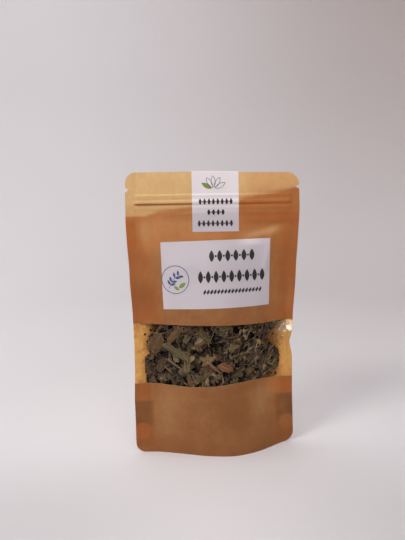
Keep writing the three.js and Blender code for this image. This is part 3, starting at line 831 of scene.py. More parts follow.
def painted_light_front(u, v):
    """How much painted light the front gets: light that shines through it, and light and shade from how it faces the
    lamps.
    """
    flap, right = flap_share(u, v), smooth((u + 10) / 60)
    # Below the zip: painted light, brighter towards the zip and weaker at the right.
    under_zip = (0.44 - 0.3 * right) * smooth((v - 128) / 26) + 0.14 * right * smooth((v - 161) / 3)
    # Over the body: painted light upwards and on the folds that face the light; painted shade at the left seal under
    # the shoulder and in a band below the zip at the right.
    body = 0.02 + 0.10 * smooth((v - 95) / 35) + 0.38 * lit_folds(u, v)
    body -= 0.5 * smooth((-u - 47.6) / 2.6) * within(v, 138, 156, 8)
    body -= 0.24 * smooth((u - 16) / 12) * within(v, 151.6, 158.6, 2.8)
    low = spots(u, v, LOW_TONES) - 0.10 * bell(v - 3, 7)
    low -= 0.14 * within(u, -56, -45, 3) * smooth((v - 36) / 4)
    low += 0.07 * within(u, 36, 55, 6) * smooth((v - 30) / 8)
    high = bell(v - 104, 10) * (0.06 * smooth((u - 38) / 10) - 0.3 * smooth((-u - 36) / 6))
    high += 0.34 * spot(u, v, 49, 99, 8, 13)
    body += low * (v < WINDOW_LOW) + high * (v > WINDOW_HIGH)
    # On the flap: painted shade along its left seal, a little towards the right, and low on its right part.
    bright = 0.93 + 0.07 * smooth(u - 47.8) - 0.12 * smooth(-u - 47.6)
    bright -= 0.03 * smooth((u + 5) / 30) + 0.14 * right * smooth((178 - v) / 6)
    above_leaves = zip_rib_shade(u, v, right) + flap * bright + (1 - flap) * (body + under_zip)
    return OVER_LEAVES + (1 - OVER_LEAVES) * above_leaves


def punched(u, v, radius, height):
    """1 inside the round hole that is punched in the gusset at both sides."""
    return smooth((radius - np.hypot(np.abs(u) - PUNCH_U, v - height)) / 0.8 + 0.5)


def gusset_strip(u, v):
    """The strips of the side seals behind which the gusset's own folds lie, but for its punched holes."""
    strip = smooth((np.abs(u) - 41) / 4) * within(v, 4, FOLD - 0.6, 1.4) * (0.35 + 0.65 * smooth((v - 15) / 7))
    return strip * (1 - punched(u, v, 5.6, 14.6))


def sealed_front(u, v):
    """Where only the two walls lie together, beside the gusset and along the sides, the paper is redder: painted light
    that shines through both walls.
    """
    right, aside, folds = u > 0, np.abs(u), lit_folds(u, v)
    above = (v > WINDOW_HIGH) * (1 - flap_share(u, v))
    beside = smooth((aside - 45.5) / 1.6) * within(v, FOLD + 0.3, 60, 1.2) * (v < WINDOW_LOW)
    body_side = smooth((aside - 28) / 20) * above * smooth((175 - v) / 22)
    body_side = body_side * (1 - 0.7 * folds) * (1 - 0.6 * spot(u, v, -47, 109, 5, 13))
    shoulder = above * smooth((v - 122) / 22) * (0.38 + 0.3 * smooth((u + 5) / 30)) * (1 - 0.75 * folds)
    low_side = smooth((aside - 34) / 16) * (v < WINDOW_LOW) * (1 - gusset_strip(u, v))
    hole = punched(u, v, 5.4, 14.8)
    masks = [(0.66 + 0.26 * right) * beside, (0.9 - 0.4 * right) * hole, 0.8 * body_side, shoulder, 0.4 * low_side]
    return np.clip(np.maximum.reduce(masks), 0, 1)


def warm_front(u, v):
    """Where the front glows redder with painted light grazing through: the bands below the zip and at its right end."""
    flap, to_right = flap_share(u, v), smooth(u / 30)
    band = 0.45 * (1 - 0.2 * to_right) * within(v, 153, 178, 6) * (1 - flap)
    below = 0.32 * (1 - 0.5 * to_right) * within(v, 136, 154, 10) * (1 - 0.6 * lit_folds(u, v))
    below += flap * (0.3 * smooth((u - 12) / 16) + 0.22 * within(v, 156, 165, 3))
    below += 0.3 * spot(u, v, 50, 92, 6, 8) * (v > WINDOW_HIGH)
    foot = 0.45 * spot(u, v, 42, 43, 5, 6) * (v < WINDOW_LOW)
    return np.maximum.reduce([band, below, foot])


def painted_light_back(u, v):
    """Painted light on the back: a bright flap, and a brown body with lighter, less filled shoulders."""
    flap = smooth((v - 160 - 0.05 * u) / 3 + 0.5)
    shoulder = 0.35 * smooth((v - 118) / 34)
    body = 0.16 + 0.05 * np.sin(0.09 * u + 0.4) * np.sin(0.06 * v)
    return OVER_LEAVES + (1 - OVER_LEAVES) * (flap * 0.88 + (1 - flap) * (body + shoulder))


def lining_shade(u, v):
    """How much painted shade the lining gets: close to the heap behind the window, and in the spots of shade."""
    left, right = heap_edges(v)
    outside = np.maximum(0, np.maximum(left - u, u - right))
    return np.minimum(0.8 * np.exp(-outside / 1.8) + spots(u, v, LINING_SHADE_SPOTS), 1)


def paper_sheet(name, low, high, side, layer):
    """One sheet of the kraft paper between two heights, with the tones of its side."""
    step = bpy.context.scene.pouch_paper.grid / MM
    rows = sheet_rows(low, high, step)
    near_edge, at_edge = 0.985, 0.994
    inner = np.linspace(-near_edge, near_edge, int(WIDTH / step) + 1)
    shares = np.concatenate([[-1, -at_edge], inner, [at_edge, 1]])
    piece, j, i = grid_piece(name, len(shares), len(rows))
    v = rows[i]
    u = shares[j] * half_width(v, shares[j] > 0)
    move_points(piece, stand(u, v, side, layer[1]) * MM)
    if side == FRONT:
        # Painted shade where the gusset's folds lie behind the side seals.
        set_attribute(piece, "painted_light", painted_light_front(u, v) - 0.2 * gusset_strip(u, v))
        set_attribute(piece, "sealed", sealed_front(u, v))
        set_attribute(piece, "warm", warm_front(u, v))
    else:
        set_attribute(piece, "painted_light", painted_light_back(u, v))
        set_attribute(piece, "sealed", 0.5 * smooth((np.abs(u) - 47) / 3))
        # Painted shade on the lining near the heap.
        set_attribute(piece, "close", lining_shade(u, v))
    finish_sheet(piece, layer, kraft_layers(), backwards=side == BACK)
    return piece


class POUCH_OT_kraft_sheets(bpy.types.Operator):
    """Build the kraft paper: the two front sheets and the lined back"""

    bl_idname = "pouch.kraft_sheets"
    bl_label = "Kraft sheets"

    def execute(self, context):
        ride_as(paper_sheet("kraft_front_lower", 0, WINDOW_LOW, FRONT, PAPER), "kraft", "front_paper_lower")
        ride_as(paper_sheet("kraft_front_upper", WINDOW_HIGH, HEIGHT, FRONT, PAPER), "kraft", "front_paper_upper")
        ride_as(paper_sheet("kraft_back", 0, HEIGHT, BACK, BACKING), "kraft", "back_paper")
        return {"FINISHED"}


def film_dents(u, v):
    """Folds of the film at the ends of the window, where nothing fills it."""
    right = smooth((u - 38) / 8) * smooth((HALF - u) / 4)
    left = smooth((-u - 42) / 5) * smooth((HALF + u) / 4)
    return (right + left) * 0.12 * np.sin(0.9 * v + 0.4 * u)


def glare(u, v):
    """A lamp's reflection at the window's right end: how much the coat shows there, and how it is turned up."""
    over, up = u - 50.3, v - 83.5
    patch = bell(u - 51.6, 4.0, 4) * bell(up, 3.9, 4)
    from_u, from_v = u - 46.2, v - 83
    ray = bell(0.83 * from_u - 0.56 * from_v, 0.8) * bell(0.6 * from_u + 0.8 * from_v, 3.2, 4)
    turned_up = np.where(over < 0, 0.66, 0.27) * over - 0.3 * up + 0.0102 * up * up
    return np.maximum(patch, ray), turned_up - 0.016 * np.maximum(over, 0) * up


class POUCH_OT_film(bpy.types.Operator):
    """Build the clear film of the front, which shows in the window"""

    bl_idname = "pouch.film"
    bl_label = "Clear film"

    def execute(self, context):
        rows = rounded_rows(stepped(0, HEIGHT, 1.6, [(WINDOW_LOW - 2, WINDOW_HIGH + 2, 0.6)]), 8, 0.3)
        shares = np.linspace(-1, 1, 171)
        piece, j, i = grid_piece("clear_film", len(shares), len(rows))
        v = rows[i]
        u = shares[j] * (half_width(v, shares[j] > 0) - 0.05)
        inside_window = within(v, WINDOW_LOW + 1.5, WINDOW_HIGH - 1.5, 2)
        gloss, facet = glare(u, v)
        set_attribute(piece, "slack", (smooth((u - 36) / 8) + 0.8 * smooth((-u - 40) / 7)) * inside_window)
        set_attribute(piece, "gloss", gloss * inside_window)
        set_attribute(piece, "facet", facet)
        outer = FILM[1] + film_dents(u, v) * inside_window
        move_points(piece, stand(u, v, FRONT, outer) * MM)
        finish_sheet(piece, FILM, [material_of("Clear film", paint_film)] * 3)
        piece.visible_shadow = False
        ride_as(piece, "film", "front_film")
        return {"FINISHED"}


class POUCH_OT_gusset(bpy.types.Operator):
    """Build the folded gusset that joins front and back at the bottom"""

    bl_idname = "pouch.gusset"
    bl_label = "Bottom gusset"

    def execute(self, context):
        shares = np.concatenate([[-1, -0.985, -0.955, -0.93], np.linspace(-0.905, 0.905, 90), [0.93, 0.955, 0.985, 1]])
        angles = np.linspace(0, math.pi, 57)
        piece, j, i = grid_piece("gusset_fold", len(shares), len(angles))
        angle = angles[i]
        open_share = np.abs(np.cos(angle))
        margin = 0.4
        u0 = shares[j] * (HALF - margin)
        lens = sum(bulge(np.clip(u0 / BODY, -1, 1), 0.0, wall) for wall in (FRONT, BACK)) / 2
        peak = np.sqrt(FOLD**2 - (1.15 * lens) ** 2)
        z = peak * np.sin(angle) ** 0.8
        u = np.sign(u0) * np.minimum(np.abs(u0), half_width(z, u0 > 0) - margin)
        t = np.clip(u / BODY, -1, 1)
        side = np.where(np.cos(angle) > 0, FRONT, BACK)
        front, back = (bulge(t, z, wall) + crease(u, z, wall) for wall in (FRONT, BACK))
        half = np.where(side == FRONT, front, back) * open_share
        half = half + 0.3 * pressed(u) * np.sqrt(np.clip(open_share * 3, 0, 1))
        pleat = 0.35 * np.sin(0.35 * u + 1) * np.sin(angle) ** 4 * smooth((BODY - np.abs(u)) / 12)
        x = stand(u, z, FRONT, 0)[:, 0]
        move_points(piece, np.stack([x, middle(u, z) + side * half + SHIFT_Y, z + pleat], -1) * MM)
        # The gusset's painted light: a little lighter towards the crest of its fold.
        set_attribute(piece, "painted_light", 0.35 + 0.1 * np.sin(angle))
        set_attribute(piece, "sealed", np.full(len(u), 0.25))
        face, lining, edge = kraft_layers()
        finish_sheet(piece, GUSSET, [lining, face, edge])
        ride_as(piece, "liner", "bottom_gusset")
        return {"FINISHED"}


# The lengths that a strip is drawn out in, and the strips' profiles as (y, z) around the zip's middle.
ZIP_STEPS = 24
ZIP_GROOVE = [
    (-0.15, -7.8), (-0.03, -7.8), (-0.03, -1.2), (-0.85, -1.0), (0.3, -0.95), (0.42, -0.45), (0.2, -0.32),
    (0.1, -0.65), (-0.75, -0.7), (-0.75, 0.7), (0.1, 0.65), (0.2, 0.32), (0.42, 0.45), (0.3, 0.95), (-0.85, 1.0),
    (-0.03, 1.2), (-0.03, 4.6), (-0.1, 4.6), (-0.1, 1.3), (-1.02, 1.1), (-1.02, -1.1), (-0.15, -1.3),
]
ZIP_RIB = [
    (0.15, -7.8), (0.15, -1.3), (1.05, -1.05), (1.05, 1.05), (0.15, 1.3), (0.15, 4.6), (0.03, 4.6), (0.03, 1.2),
    (0.75, 0.85), (0.75, 0.22), (-0.1, 0.2), (-0.1, 0.42), (-0.3, 0.42), (-0.6, 0.18), (-0.6, -0.18), (-0.3, -0.42),
    (-0.1, -0.42), (-0.1, -0.2), (0.75, -0.22), (0.75, -0.85), (0.03, -1.2), (0.03, -7.8),
]


def zip_strip(name, profile, node):
    """A strip drawn along X from its profile, given as (y, z) pairs around the zip's middle."""
    piece = primitive(name, bpy.ops.mesh.primitive_circle_add, vertices=len(profile), fill_type="NGON")
    y, z = np.array(profile).T
    start = np.full(len(profile), -ZIP_HALF_LENGTH)
    move_points(piece, np.stack([start, y, z + ZIP_V], -1) * MM)
    run = {"value": (2 * ZIP_HALF_LENGTH * MM / ZIP_STEPS, 0, 0)}
    edit_whole(piece, bpy.ops.mesh.extrude_region_move, ZIP_STEPS, TRANSFORM_OT_translate=run)
    point_outwards(piece)
    places = points_of(piece)
    u = places[:, 0] / MM
    crushed = 0.15 + 0.85 * zip_ends(u)
    places[:, 1] = places[:, 1] * crushed + (SHIFT_Y + middle(u, ZIP_V) + flap_wave(u, ZIP_V)) * MM
    move_points(piece, places)
    piece.data.materials.append(material_of("Milky polyethylene", paint_zip))
    smooth_by_angle(piece, 30)
    ride_as(piece, "zip", node)


class POUCH_OT_zip(bpy.types.Operator):
    """Build the two strips of the press-to-close zip"""

    bl_idname = "pouch.zip"
    bl_label = "Zip strips"

    def execute(self, context):
        zip_strip("zip_groove", ZIP_GROOVE, "zip_groove_strip")
        zip_strip("zip_rib", ZIP_RIB, "zip_rib_strip")
        return {"FINISHED"}


# ---- labels and their ornament ----

NAME_LABEL = {"width": 70.5, "height": 42.6, "u": 1.6, "v": 120.5, "turn": math.radians(1.25)}
SEAL_LABEL = {"width": 29.8, "u": 1.9, "front": 147.2, "back": 148.0}


def finish_label(piece):
    finish_sheet(piece, LABEL, [material_of("Sticker paper", paint_label)] * 3)
    return piece


def name_label_sheet():
    """The wide label above the window, a little turned."""
    size = NAME_LABEL
    columns = np.linspace(-0.5, 0.5, 95) * size["width"]
    rows = np.linspace(-0.5, 0.5, 60) * size["height"]
    piece, j, i = grid_piece("name_label_paper", len(columns), len(rows))
    across, up = columns[j], rows[i]
    v = size["v"] + up + across * math.tan(size["turn"])
    move_points(piece, stand(size["u"] + across, v, FRONT, LABEL[1]) * MM)
    # Painted light and shade: darker towards the right, with a painted highlight near the upper right corner.
    turned_up = bell(across - 24, 9) * smooth((up - 15.5) / 4)
    set_attribute(piece, "painted_light", 0.15 - 0.3 * smooth((across + 10) / 40) + 0.7 * turned_up)
    return finish_label(piece)


def seal_label_sheet():
    """Up the front, over the mouth and down the back, in one strip."""
    size = SEAL_LABEL
    crown, rim = HEIGHT - 0.2, HEIGHT - 0.5
    front = sheet_rows(size["front"], crown, 0.8)
    front = front[front < rim]
    back = np.linspace(size["back"], rim, 45)
    turn = np.linspace(0, math.pi, 12)
    columns = size["u"] + np.linspace(-0.5, 0.5, 42) * size["width"]
    rows = len(front) + len(turn) + len(back)
    piece, j, i = grid_piece("seal_label_paper", len(columns), rows)
    u = columns[j]
    on_front, on_turn = i < len(front), (i >= len(front)) & (i < len(front) + len(turn))
    angle = turn[np.clip(i - len(front), 0, len(turn) - 1)]
    back_row = np.clip(i - len(front) - len(turn), 0, len(back) - 1)
    up = stand(u, front[np.clip(i, 0, len(front) - 1)], FRONT, LABEL[1])
    down = stand(u, back[::-1][back_row], BACK, LABEL[1])
    crown_front, crown_back = (stand(u, crown, side, LABEL[1]) for side in (FRONT, BACK))
    centre, reach = (crown_front + crown_back) / 2, (crown_back - crown_front)[:, 1] / 2
    over = centre + np.stack([0 * u, -np.cos(angle) * reach, np.sin(angle) * 0.75], -1)
    places = np.where(on_front[:, None], up, np.where(on_turn[:, None], over, down))
    move_points(piece, places * MM)
    # Painted light: brighter up on the flap, where light shines through the empty top.
    set_attribute(piece, "painted_light", smooth((places[:, 2] - 150) / 20))
    return finish_label(piece)


def leaf_shape(centre, length, width, turn, tip=0.2, count=14):
    """The outline of a small printed leaf, pointed at both ends."""
    s = np.linspace(0, 1, count // 2 + 1)
    half = width / 2 * np.sin(math.pi * s) ** 0.85 * (1 + tip * (0.5 - s))
    edge = np.concatenate([np.stack([half, s - 0.5], -1), np.stack([-half, s - 0.5], -1)[-2:0:-1]])
    edge[:, 1] *= length
    cos, sin = math.cos(turn), math.sin(turn)
    spun = np.stack([edge[:, 0] * cos - edge[:, 1] * sin, edge[:, 0] * sin + edge[:, 1] * cos], -1)
    return spun + np.array(centre)


def disc_shape(centre, radius, count=14, squeeze=1.0):
    angles = np.linspace(0, 2 * math.pi, count, endpoint=False)
    return np.stack([radius * np.cos(angles), squeeze * radius * np.sin(angles)], -1) + np.array(centre)


def outline_of(shape, thickness):
    """The closed line of a shape, as an outer and an inner ring."""
    centre = shape.mean(0)
    ahead = np.roll(shape, -1, 0) - np.roll(shape, 1, 0)
    normal = np.stack([ahead[:, 1], -ahead[:, 0]], -1)
    normal /= np.maximum(1e-6, np.hypot(*normal.T))[:, None]
    if ((shape - centre) * normal).sum() < 0:
        normal = -normal
    return shape, shape - normal * thickness


def line_shape(points, thickness):
    """A line of even thickness through points, as one closed outline."""
    points = np.array(points, float)
    ahead = np.gradient(points, axis=0)
    normal = np.stack([-ahead[:, 1], ahead[:, 0]], -1)
    normal /= np.hypot(*normal.T)[:, None]
    return points + normal * thickness / 2, points - normal * thickness / 2


def print_piece(name, material, shapes=(), rings=(), lines=()):
    """Thin inked shapes that lie on a label: filled ones, closed outlines and open lines."""
    flat, faces = [], []
    for shape in shapes:
        start, n = len(flat), len(shape)
        flat += [*shape]
        for k in range(n // 2):
            corners = (k, k + 1, n - k - 1, (n - k) % n)
            faces.append(tuple(start + c for c in dict.fromkeys(corners)))
    for closed, pairs in ((True, rings), (False, lines)):
        for outer, inner in pairs:
            start, n = len(flat), len(outer)
            flat += [*outer, *inner]
            for k in range(n if closed else n - 1):
                m = (k + 1) % n
                faces.append((start + k, start + m, start + n + m, start + n + k))
    u, v = np.array(flat).T
    mesh = bpy.data.meshes.new(name)
    mesh.from_pydata((stand(u, v, FRONT, PRINT[1]) * MM).tolist(), [], faces)
    normals = np.empty(len(mesh.polygons) * 3, np.float32)
    mesh.polygons.foreach_get("normal", normals)
    for k in np.flatnonzero(normals.reshape(-1, 3)[:, 1] > 0):
        mesh.polygons[k].flip()
    mesh.materials.append(material)
    piece = add_object(name, mesh)
    thicken(piece, PRINT[1] - PRINT[0])
    ride_as(piece, "label")


def garland(left, right, v, height, count, slope=0.0, lean=0.0):
    """A row of pointed leaves with a berry between each two."""
    pitch = (right - left) / count
    shapes = []
    for k in range(count):
        u = left + (k + 0.5) * pitch
        at = v + math.tan(slope) * u
        shapes.append(leaf_shape((u, at), height, min(pitch * 0.62, height * 0.66), lean, count=24))
        if k < count - 1:
            shapes.append(disc_shape((u + pitch / 2, at), min(pitch, height) * 0.13, 10))
    return shapes


def sprig(base, heading, length, pairs, size):
    """A curved stalk with pairs of leaves; returns (leaf outlines, stalk line)."""
    s = np.linspace(0, 1, 12)
    bend = 0.5 * s**2
    stalk = np.stack(
        [base[0] + length * s * np.cos(heading - bend), base[1] + length * s * np.sin(heading - bend)], -1
    )
    leaves = []
    for k in range(pairs):
        at = stalk[int((k + 1) * 11 / (pairs + 0.6))]
        for side in (-1, 1):
            aim = heading - 0.5 * (k + 1) / pairs + side * 0.85
            centre = at + size * 0.55 * np.array([math.cos(aim), math.sin(aim)])
            leaves.append(leaf_shape(centre, size, size * 0.42, aim - math.pi / 2, count=12))
    return leaves, line_shape(stalk, 0.28)


class POUCH_OT_labels(bpy.types.Operator):
    """Build the two labels and their leaf ornament"""

    bl_idname = "pouch.labels"
    bl_label = "Labels"

    def execute(self, context):
        ride_as(name_label_sheet(), "label", "name_label")
        ride_as(seal_label_sheet(), "label", "seal_label")
        look = context.scene.pouch_paper
        ink = material_of("Dark ink", paint_ink, look.ink)
        blue = material_of("Blue ink", paint_ink, look.blue_ink)
        green = material_of("Green ink", paint_ink, look.green_ink)
        slope = NAME_LABEL["turn"]
        name_rows = [
            garland(-3.8, 27.5, 132.0, 7.2, 6, slope),
            garland(-11.1, 34.3, 119.0, 7.8, 9, slope),
            garland(-7.2, 31.7, 109.6, 3.4, 17, slope, -0.4),
        ]
        seal_rows = [
            garland(-9.2, 13.2, 166.3, 4.0, 8),
            garland(-3.9, 8.2, 159.6, 3.8, 4),
            garland(-10.1, 13.5, 152.5, 4.2, 8),
        ]
        print_piece("name_label_garlands", ink, sum(name_rows, []))
        print_piece("seal_label_garlands", ink, sum(seal_rows, []))
        centre = np.array([-24.9, 117.4])
        fronds, stalk = sprig(centre + (-4.2, -5.6), 1.25, 12.0, 4, 3.6)
        print_piece("emblem_ring", blue, rings=[outline_of(disc_shape(centre, 9.0, 48), 0.42)])
        low_leaves = [
            leaf_shape(centre + (4.4, -3.6), 5.6, 2.6, -0.95, count=12),
            leaf_shape(centre + (0.6, -5.4), 4.4, 2.0, 0.95, count=12),
        ]
        print_piece("emblem_green_leaves", green, low_leaves)
        print_piece("emblem_blue_sprig", blue, fronds, lines=[stalk])
        fan, root = [], np.array([0.9, 174.0])
        for turn in (-1.05, -0.5, 0.05, 0.55, 1.1):
            at = root + 5.0 * np.array([-math.sin(turn), math.cos(turn)])
            fan.append(leaf_shape(at, 7.6, 3.0, turn, count=20))
        print_piece("seal_fan", ink, rings=[outline_of(leaf, 0.26) for leaf in fan[:4]])
        print_piece("seal_fan_green_leaf", green, [fan[4]])
        return {"FINISHED"}


# ---- leaves ----

# The uneven outline of the heap behind the window: u at the left and right for heights v.
HEAP_LEFT = [(40, -44.5), (47.8, -45.8), (51.8, -46.4), (57, -48.4), (63.2, -48.6), (66, -45), (67.4, -42.6),
             (69, -44.4), (73.4, -46.2), (77.8, -45.6), (80.5, -43.2), (84.2, -39.4), (88.6, -35.8), (95, -34)]
HEAP_RIGHT = [(40, 32), (48.4, 36.2), (50.2, 38.6), (52.8, 41.8), (55.6, 44.8), (61.4, 45.8), (66.4, 45.6),
              (69.8, 42.4), (72.2, 38.8), (74, 36.2), (76.2, 36.4), (80.4, 38), (82.8, 41.6), (87, 45.8), (95, 46)]
# How far the heap's core lies behind the walls, and inside the heap's outline.
CORE_INSET, CORE_MARGIN = 6.4, 9
# The crushed flakes stay this far behind the film, and the larger scraps lie in front of them.
FILM_ROOM, SCRAP_ROOM = 0.5, 0.1
# How many crumbs lie all over the heap, and how many along its outline.
CRUMBS, EDGE_CRUMBS = 240, 460

# The crushed leaves by colour: the record's slot, the share of the flakes, and the tint.
FLAKE_TINTS = [
    ("leaf_olive", 0.27, (82, 70, 47)),
    ("leaf_brown", 0.33, (78, 60, 43)),
    ("leaf_grey", 0.22, (84, 73, 58)),
    ("leaf_tan", 0.13, (100, 82, 60)),
    ("leaf_yellow", 0.03, (92, 80, 46)),
    ("leaf_rust", 0.02, (94, 66, 48)),
]


def heap_edges(v):
    """Where the heap behind the window ends at height v, at the left and at the right."""
    return looked_up(HEAP_LEFT, v), looked_up(HEAP_RIGHT, v)


def scrap_axes(columns, rows):
    """A grid's places along and across, both from -1 to 1, and its UV."""
    a = np.linspace(-1, 1, columns)[None, :].repeat(rows, 0)
    b = np.linspace(-1, 1, rows)[:, None].repeat(columns, 1)
    return a, b, np.stack([a * 0.5 + 0.5, b * 0.5 + 0.5], -1).reshape(-1, 2)


def blade_prototype(random, columns, rows, kind):
    """One leaf scrap of unit length and width: outline, curl and tears; returns (points, uv)."""
    a, b, uv = scrap_axes(columns, rows)
    if kind == "torn":
        reach = 1 - 0.35 * np.abs(a) ** random.uniform(1.5, 4)
    else:
        reach = np.sqrt(np.clip(1 - 0.93 * a * a, 0, 1)) * (1 - 0.25 * random.uniform(-1, 1) * a)
    ragged = 1 + random.uniform(-0.22, 0.22, a.shape) * (np.abs(b) > 0.9)
    x = 0.5 * a * (1 + random.uniform(-0.12, 0.12, a.shape) * (np.abs(a) > 0.9))
    y = 0.5 * b * reach * ragged
    fold, bow = random.uniform(-0.2, 0.9), random.uniform(-0.5, 0.5)
    twist = random.uniform(-0.7, 0.7)
    z = -fold * np.abs(y) + bow * (x * x - 0.1) * 0.8 + random.normal(0, 0.05, a.shape)
    if kind == "torn":
        turn, apart = random.uniform(0, math.pi), random.uniform(4, 8)
        z = z + 0.09 * np.abs(np.sin(apart * (x * np.cos(turn) + y * np.sin(turn)) + random.uniform(0, 3)))
    roll = random.uniform(-1.6, 1.6)
    angle = roll * y * 2 + twist * x * 2
    y, z = y * np.cos(angle) - z * np.sin(angle), y * np.sin(angle) + z * np.cos(angle)
    if kind == "rolled":
        y = y + random.uniform(-1.6, 1.6) * (4 * x * x - 0.33) + random.uniform(-0.6, 0.6) * np.sin(6 * x)
    return np.stack([x, y, z], -1).reshape(-1, 3), uv


def closed_sheet_faces(columns, rows):
    """Quads of a closed thin sheet whose second half of points is its other face."""
    count = columns * rows

    def at(i, j, k):
        return k * count + i * columns + j

    quads = []
    for i in range(rows - 1):
        for j in range(columns - 1):
            quads.append((at(i, j, 0), at(i, j + 1, 0), at(i + 1, j + 1, 0), at(i + 1, j, 0)))
            quads.append((at(i, j, 1), at(i + 1, j, 1), at(i + 1, j + 1, 1), at(i, j + 1, 1)))
    for j in range(columns - 1):
        quads.append((at(0, j, 1), at(0, j + 1, 1), at(0, j + 1, 0), at(0, j, 0)))
        top = rows - 1
        quads.append((at(top, j, 0), at(top, j + 1, 0), at(top, j + 1, 1), at(top, j, 1)))
    for i in range(rows - 1):
        quads.append((at(i, 0, 0), at(i + 1, 0, 0), at(i + 1, 0, 1), at(i, 0, 1)))
        end = columns - 1
        quads.append((at(i, end, 1), at(i + 1, end, 1), at(i + 1, end, 0), at(i, end, 0)))
    return np.array(quads)


def sheet_normals(points, columns, rows):
    """Unit normals of grids of points, shaped (number, rows x columns, 3)."""
    grid = points.reshape(-1, rows, columns, 3)
    across, up = np.gradient(grid, axis=2), np.gradient(grid, axis=1)
    normal = np.cross(across, up)
    normal /= np.maximum(1e-9, np.linalg.norm(normal, axis=-1))[..., None]
    return normal.reshape(points.shape)


# How sharply scraps flatten against the film, per millimetre.
PRESS = 3.5
# Painted shade gathers on what lies deeper than this, in millimetres.
SHADE_DEPTH = 1.0


def keep_behind_film(points, room):
    """Presses points softly against a surface just behind the film, so that none comes through it."""
    u = points[..., 0] * BODY / chord(points[..., 2])
    limit = stand(u, points[..., 2], FRONT, -room)[..., 1]
    back = stand(u, points[..., 2], BACK, -0.2)[..., 1]
    depth = points[..., 1] - limit
    y = limit + np.logaddexp(0, PRESS * depth) / PRESS
    points[..., 1] = np.minimum(y, np.maximum(back, limit + 0.1))
    return points, y - limit


def flake_piece(name, grids, columns, rows, uv, tints, thickness, material, slot, room=FILM_ROOM, deep_shade=0.93):
    """One mesh of many thin closed scraps: grids is (number, points, 3) in millimetres.

    A point gets painted shade the deeper it lies, darker by up to a given share.
    """
    number, size = grids.shape[:2]
    normal = sheet_normals(grids, columns, rows)
    both = np.concatenate([grids + normal * thickness / 2, grids - normal * thickness / 2], 1)
    both, depth = keep_behind_film(both, room)
    pattern = closed_sheet_faces(columns, rows)
    quads = (pattern[None] + (np.arange(number) * 2 * size)[:, None, None]).reshape(-1, 4)
    mesh = bpy.data.meshes.new(name)
    mesh.vertices.add(number * size * 2)
    mesh.vertices.foreach_set("co", (both * MM).astype(np.float32).ravel())
    mesh.loops.add(quads.size)
    mesh.loops.foreach_set("vertex_index", quads.ravel())
    mesh.polygons.add(len(quads))
    mesh.polygons.foreach_set("loop_start", np.arange(0, quads.size, 4))
    mesh.update(calc_edges=True)
    mesh.validate()
    layer = mesh.uv_layers.new(name="UVMap")
    flat = np.concatenate([uv, uv])[pattern.ravel()]
    layer.data.foreach_set("uv", np.tile(flat, (number, 1)).astype(np.float32).ravel())
    tint = mesh.attributes.new("tint", "FLOAT_COLOR", "POINT")
    # Painted shade: deeper points of a scrap are darker.
    shade_by_depth = deep_shade * np.exp(-np.maximum(0, depth) / SHADE_DEPTH)[..., None] + (1 - deep_shade)
    rgba = np.concatenate([tints[:, None] * shade_by_depth, np.ones((number, 2 * size, 1))], -1)
    tint.data.foreach_set("color", rgba.astype(np.float32).ravel())
    mesh.polygons.foreach_set("use_smooth", np.ones(len(quads), bool))
    mesh.materials.append(material)
    piece = add_object(name, mesh)
    ride_as(piece, slot)
    return piece


def turned(points, axis_x, axis_y, axis_z):
    return points[..., 0:1] * axis_x + points[..., 1:2] * axis_y + points[..., 2:3] * axis_z


def unit(vectors):
    return vectors / np.maximum(1e-9, np.linalg.norm(vectors, axis=-1, keepdims=True))


def film_axes(u, v, side=FRONT):
    """At flat points: the place on the inner face, and unit vectors across, up and outwards."""
    place = stand(u, v, side, 0)
    across = unit(stand(u + 0.5, v, side, 0) - stand(u - 0.5, v, side, 0))
    up = unit(stand(u, v + 0.5, side, 0) - stand(u, v - 0.5, side, 0))
    outwards = unit(np.cross(across, up)) * (-side)
    return place, across, up, outwards


def scatter(random, number, low, high, spare=0.0):
    """Flat places inside the heap's outline behind the window."""
    u = random.uniform(-50, 50, number * 3)
    v = random.uniform(low, high, number * 3)
    left, right = heap_edges(v)
    keep = np.flatnonzero((u > left + spare) & (u < right - spare))[:number]
    return u[keep], v[keep]


def lay_scraps(random, prototypes, u, v, inset, lengths, widths, tilt, spin=None, side=FRONT):
    """Copies of the prototypes laid at flat places, turned about the film's normal by spin, or at random."""
    place, across, up, outwards = film_axes(u, v, side)
    number = len(u)
    spin = (random.uniform(0, 2 * math.pi, number) if spin is None else spin)[:, None]
    facing = unit(outwards + random.normal(0, tilt, (number, 3)))
    first = unit(across * np.cos(spin) + up * np.sin(spin))
    first = unit(first - (first * facing).sum(-1, keepdims=True) * facing)
    second = np.cross(facing, first)
    pick = random.integers(0, len(prototypes), number)
    shapes = np.array([prototypes[k][0] for k in pick])
    shapes = shapes * np.stack([lengths, widths, widths], -1)[:, None, :]
    grids = turned(shapes, first[:, None], second[:, None], facing[:, None])
    return grids + (place - outwards * inset[:, None])[:, None, :]


def varied(random, tint, spread, number):
    """A tint with a little change of brightness and warmth for each of a number of scraps."""
    base = np.array(srgb(*tint))
    bright = np.exp(np.clip(random.normal(0, spread, (number, 1)), -1.2, 0.6))
    warm = 1 + random.normal(0, 0.05, (number, 3))
    return np.clip(base * bright * warm, 0.002, 0.9)


def shaded_deeper(tints, u, inset):
    """Scraps further in get painted shade, and those to the left are darker than those to the right."""
    place = 0.95 + 0.38 * smooth((u + 14) / 42)
    return tints * (place * (0.05 + 1.38 * np.exp(-((inset / 2.3) ** 2))))[:, None]


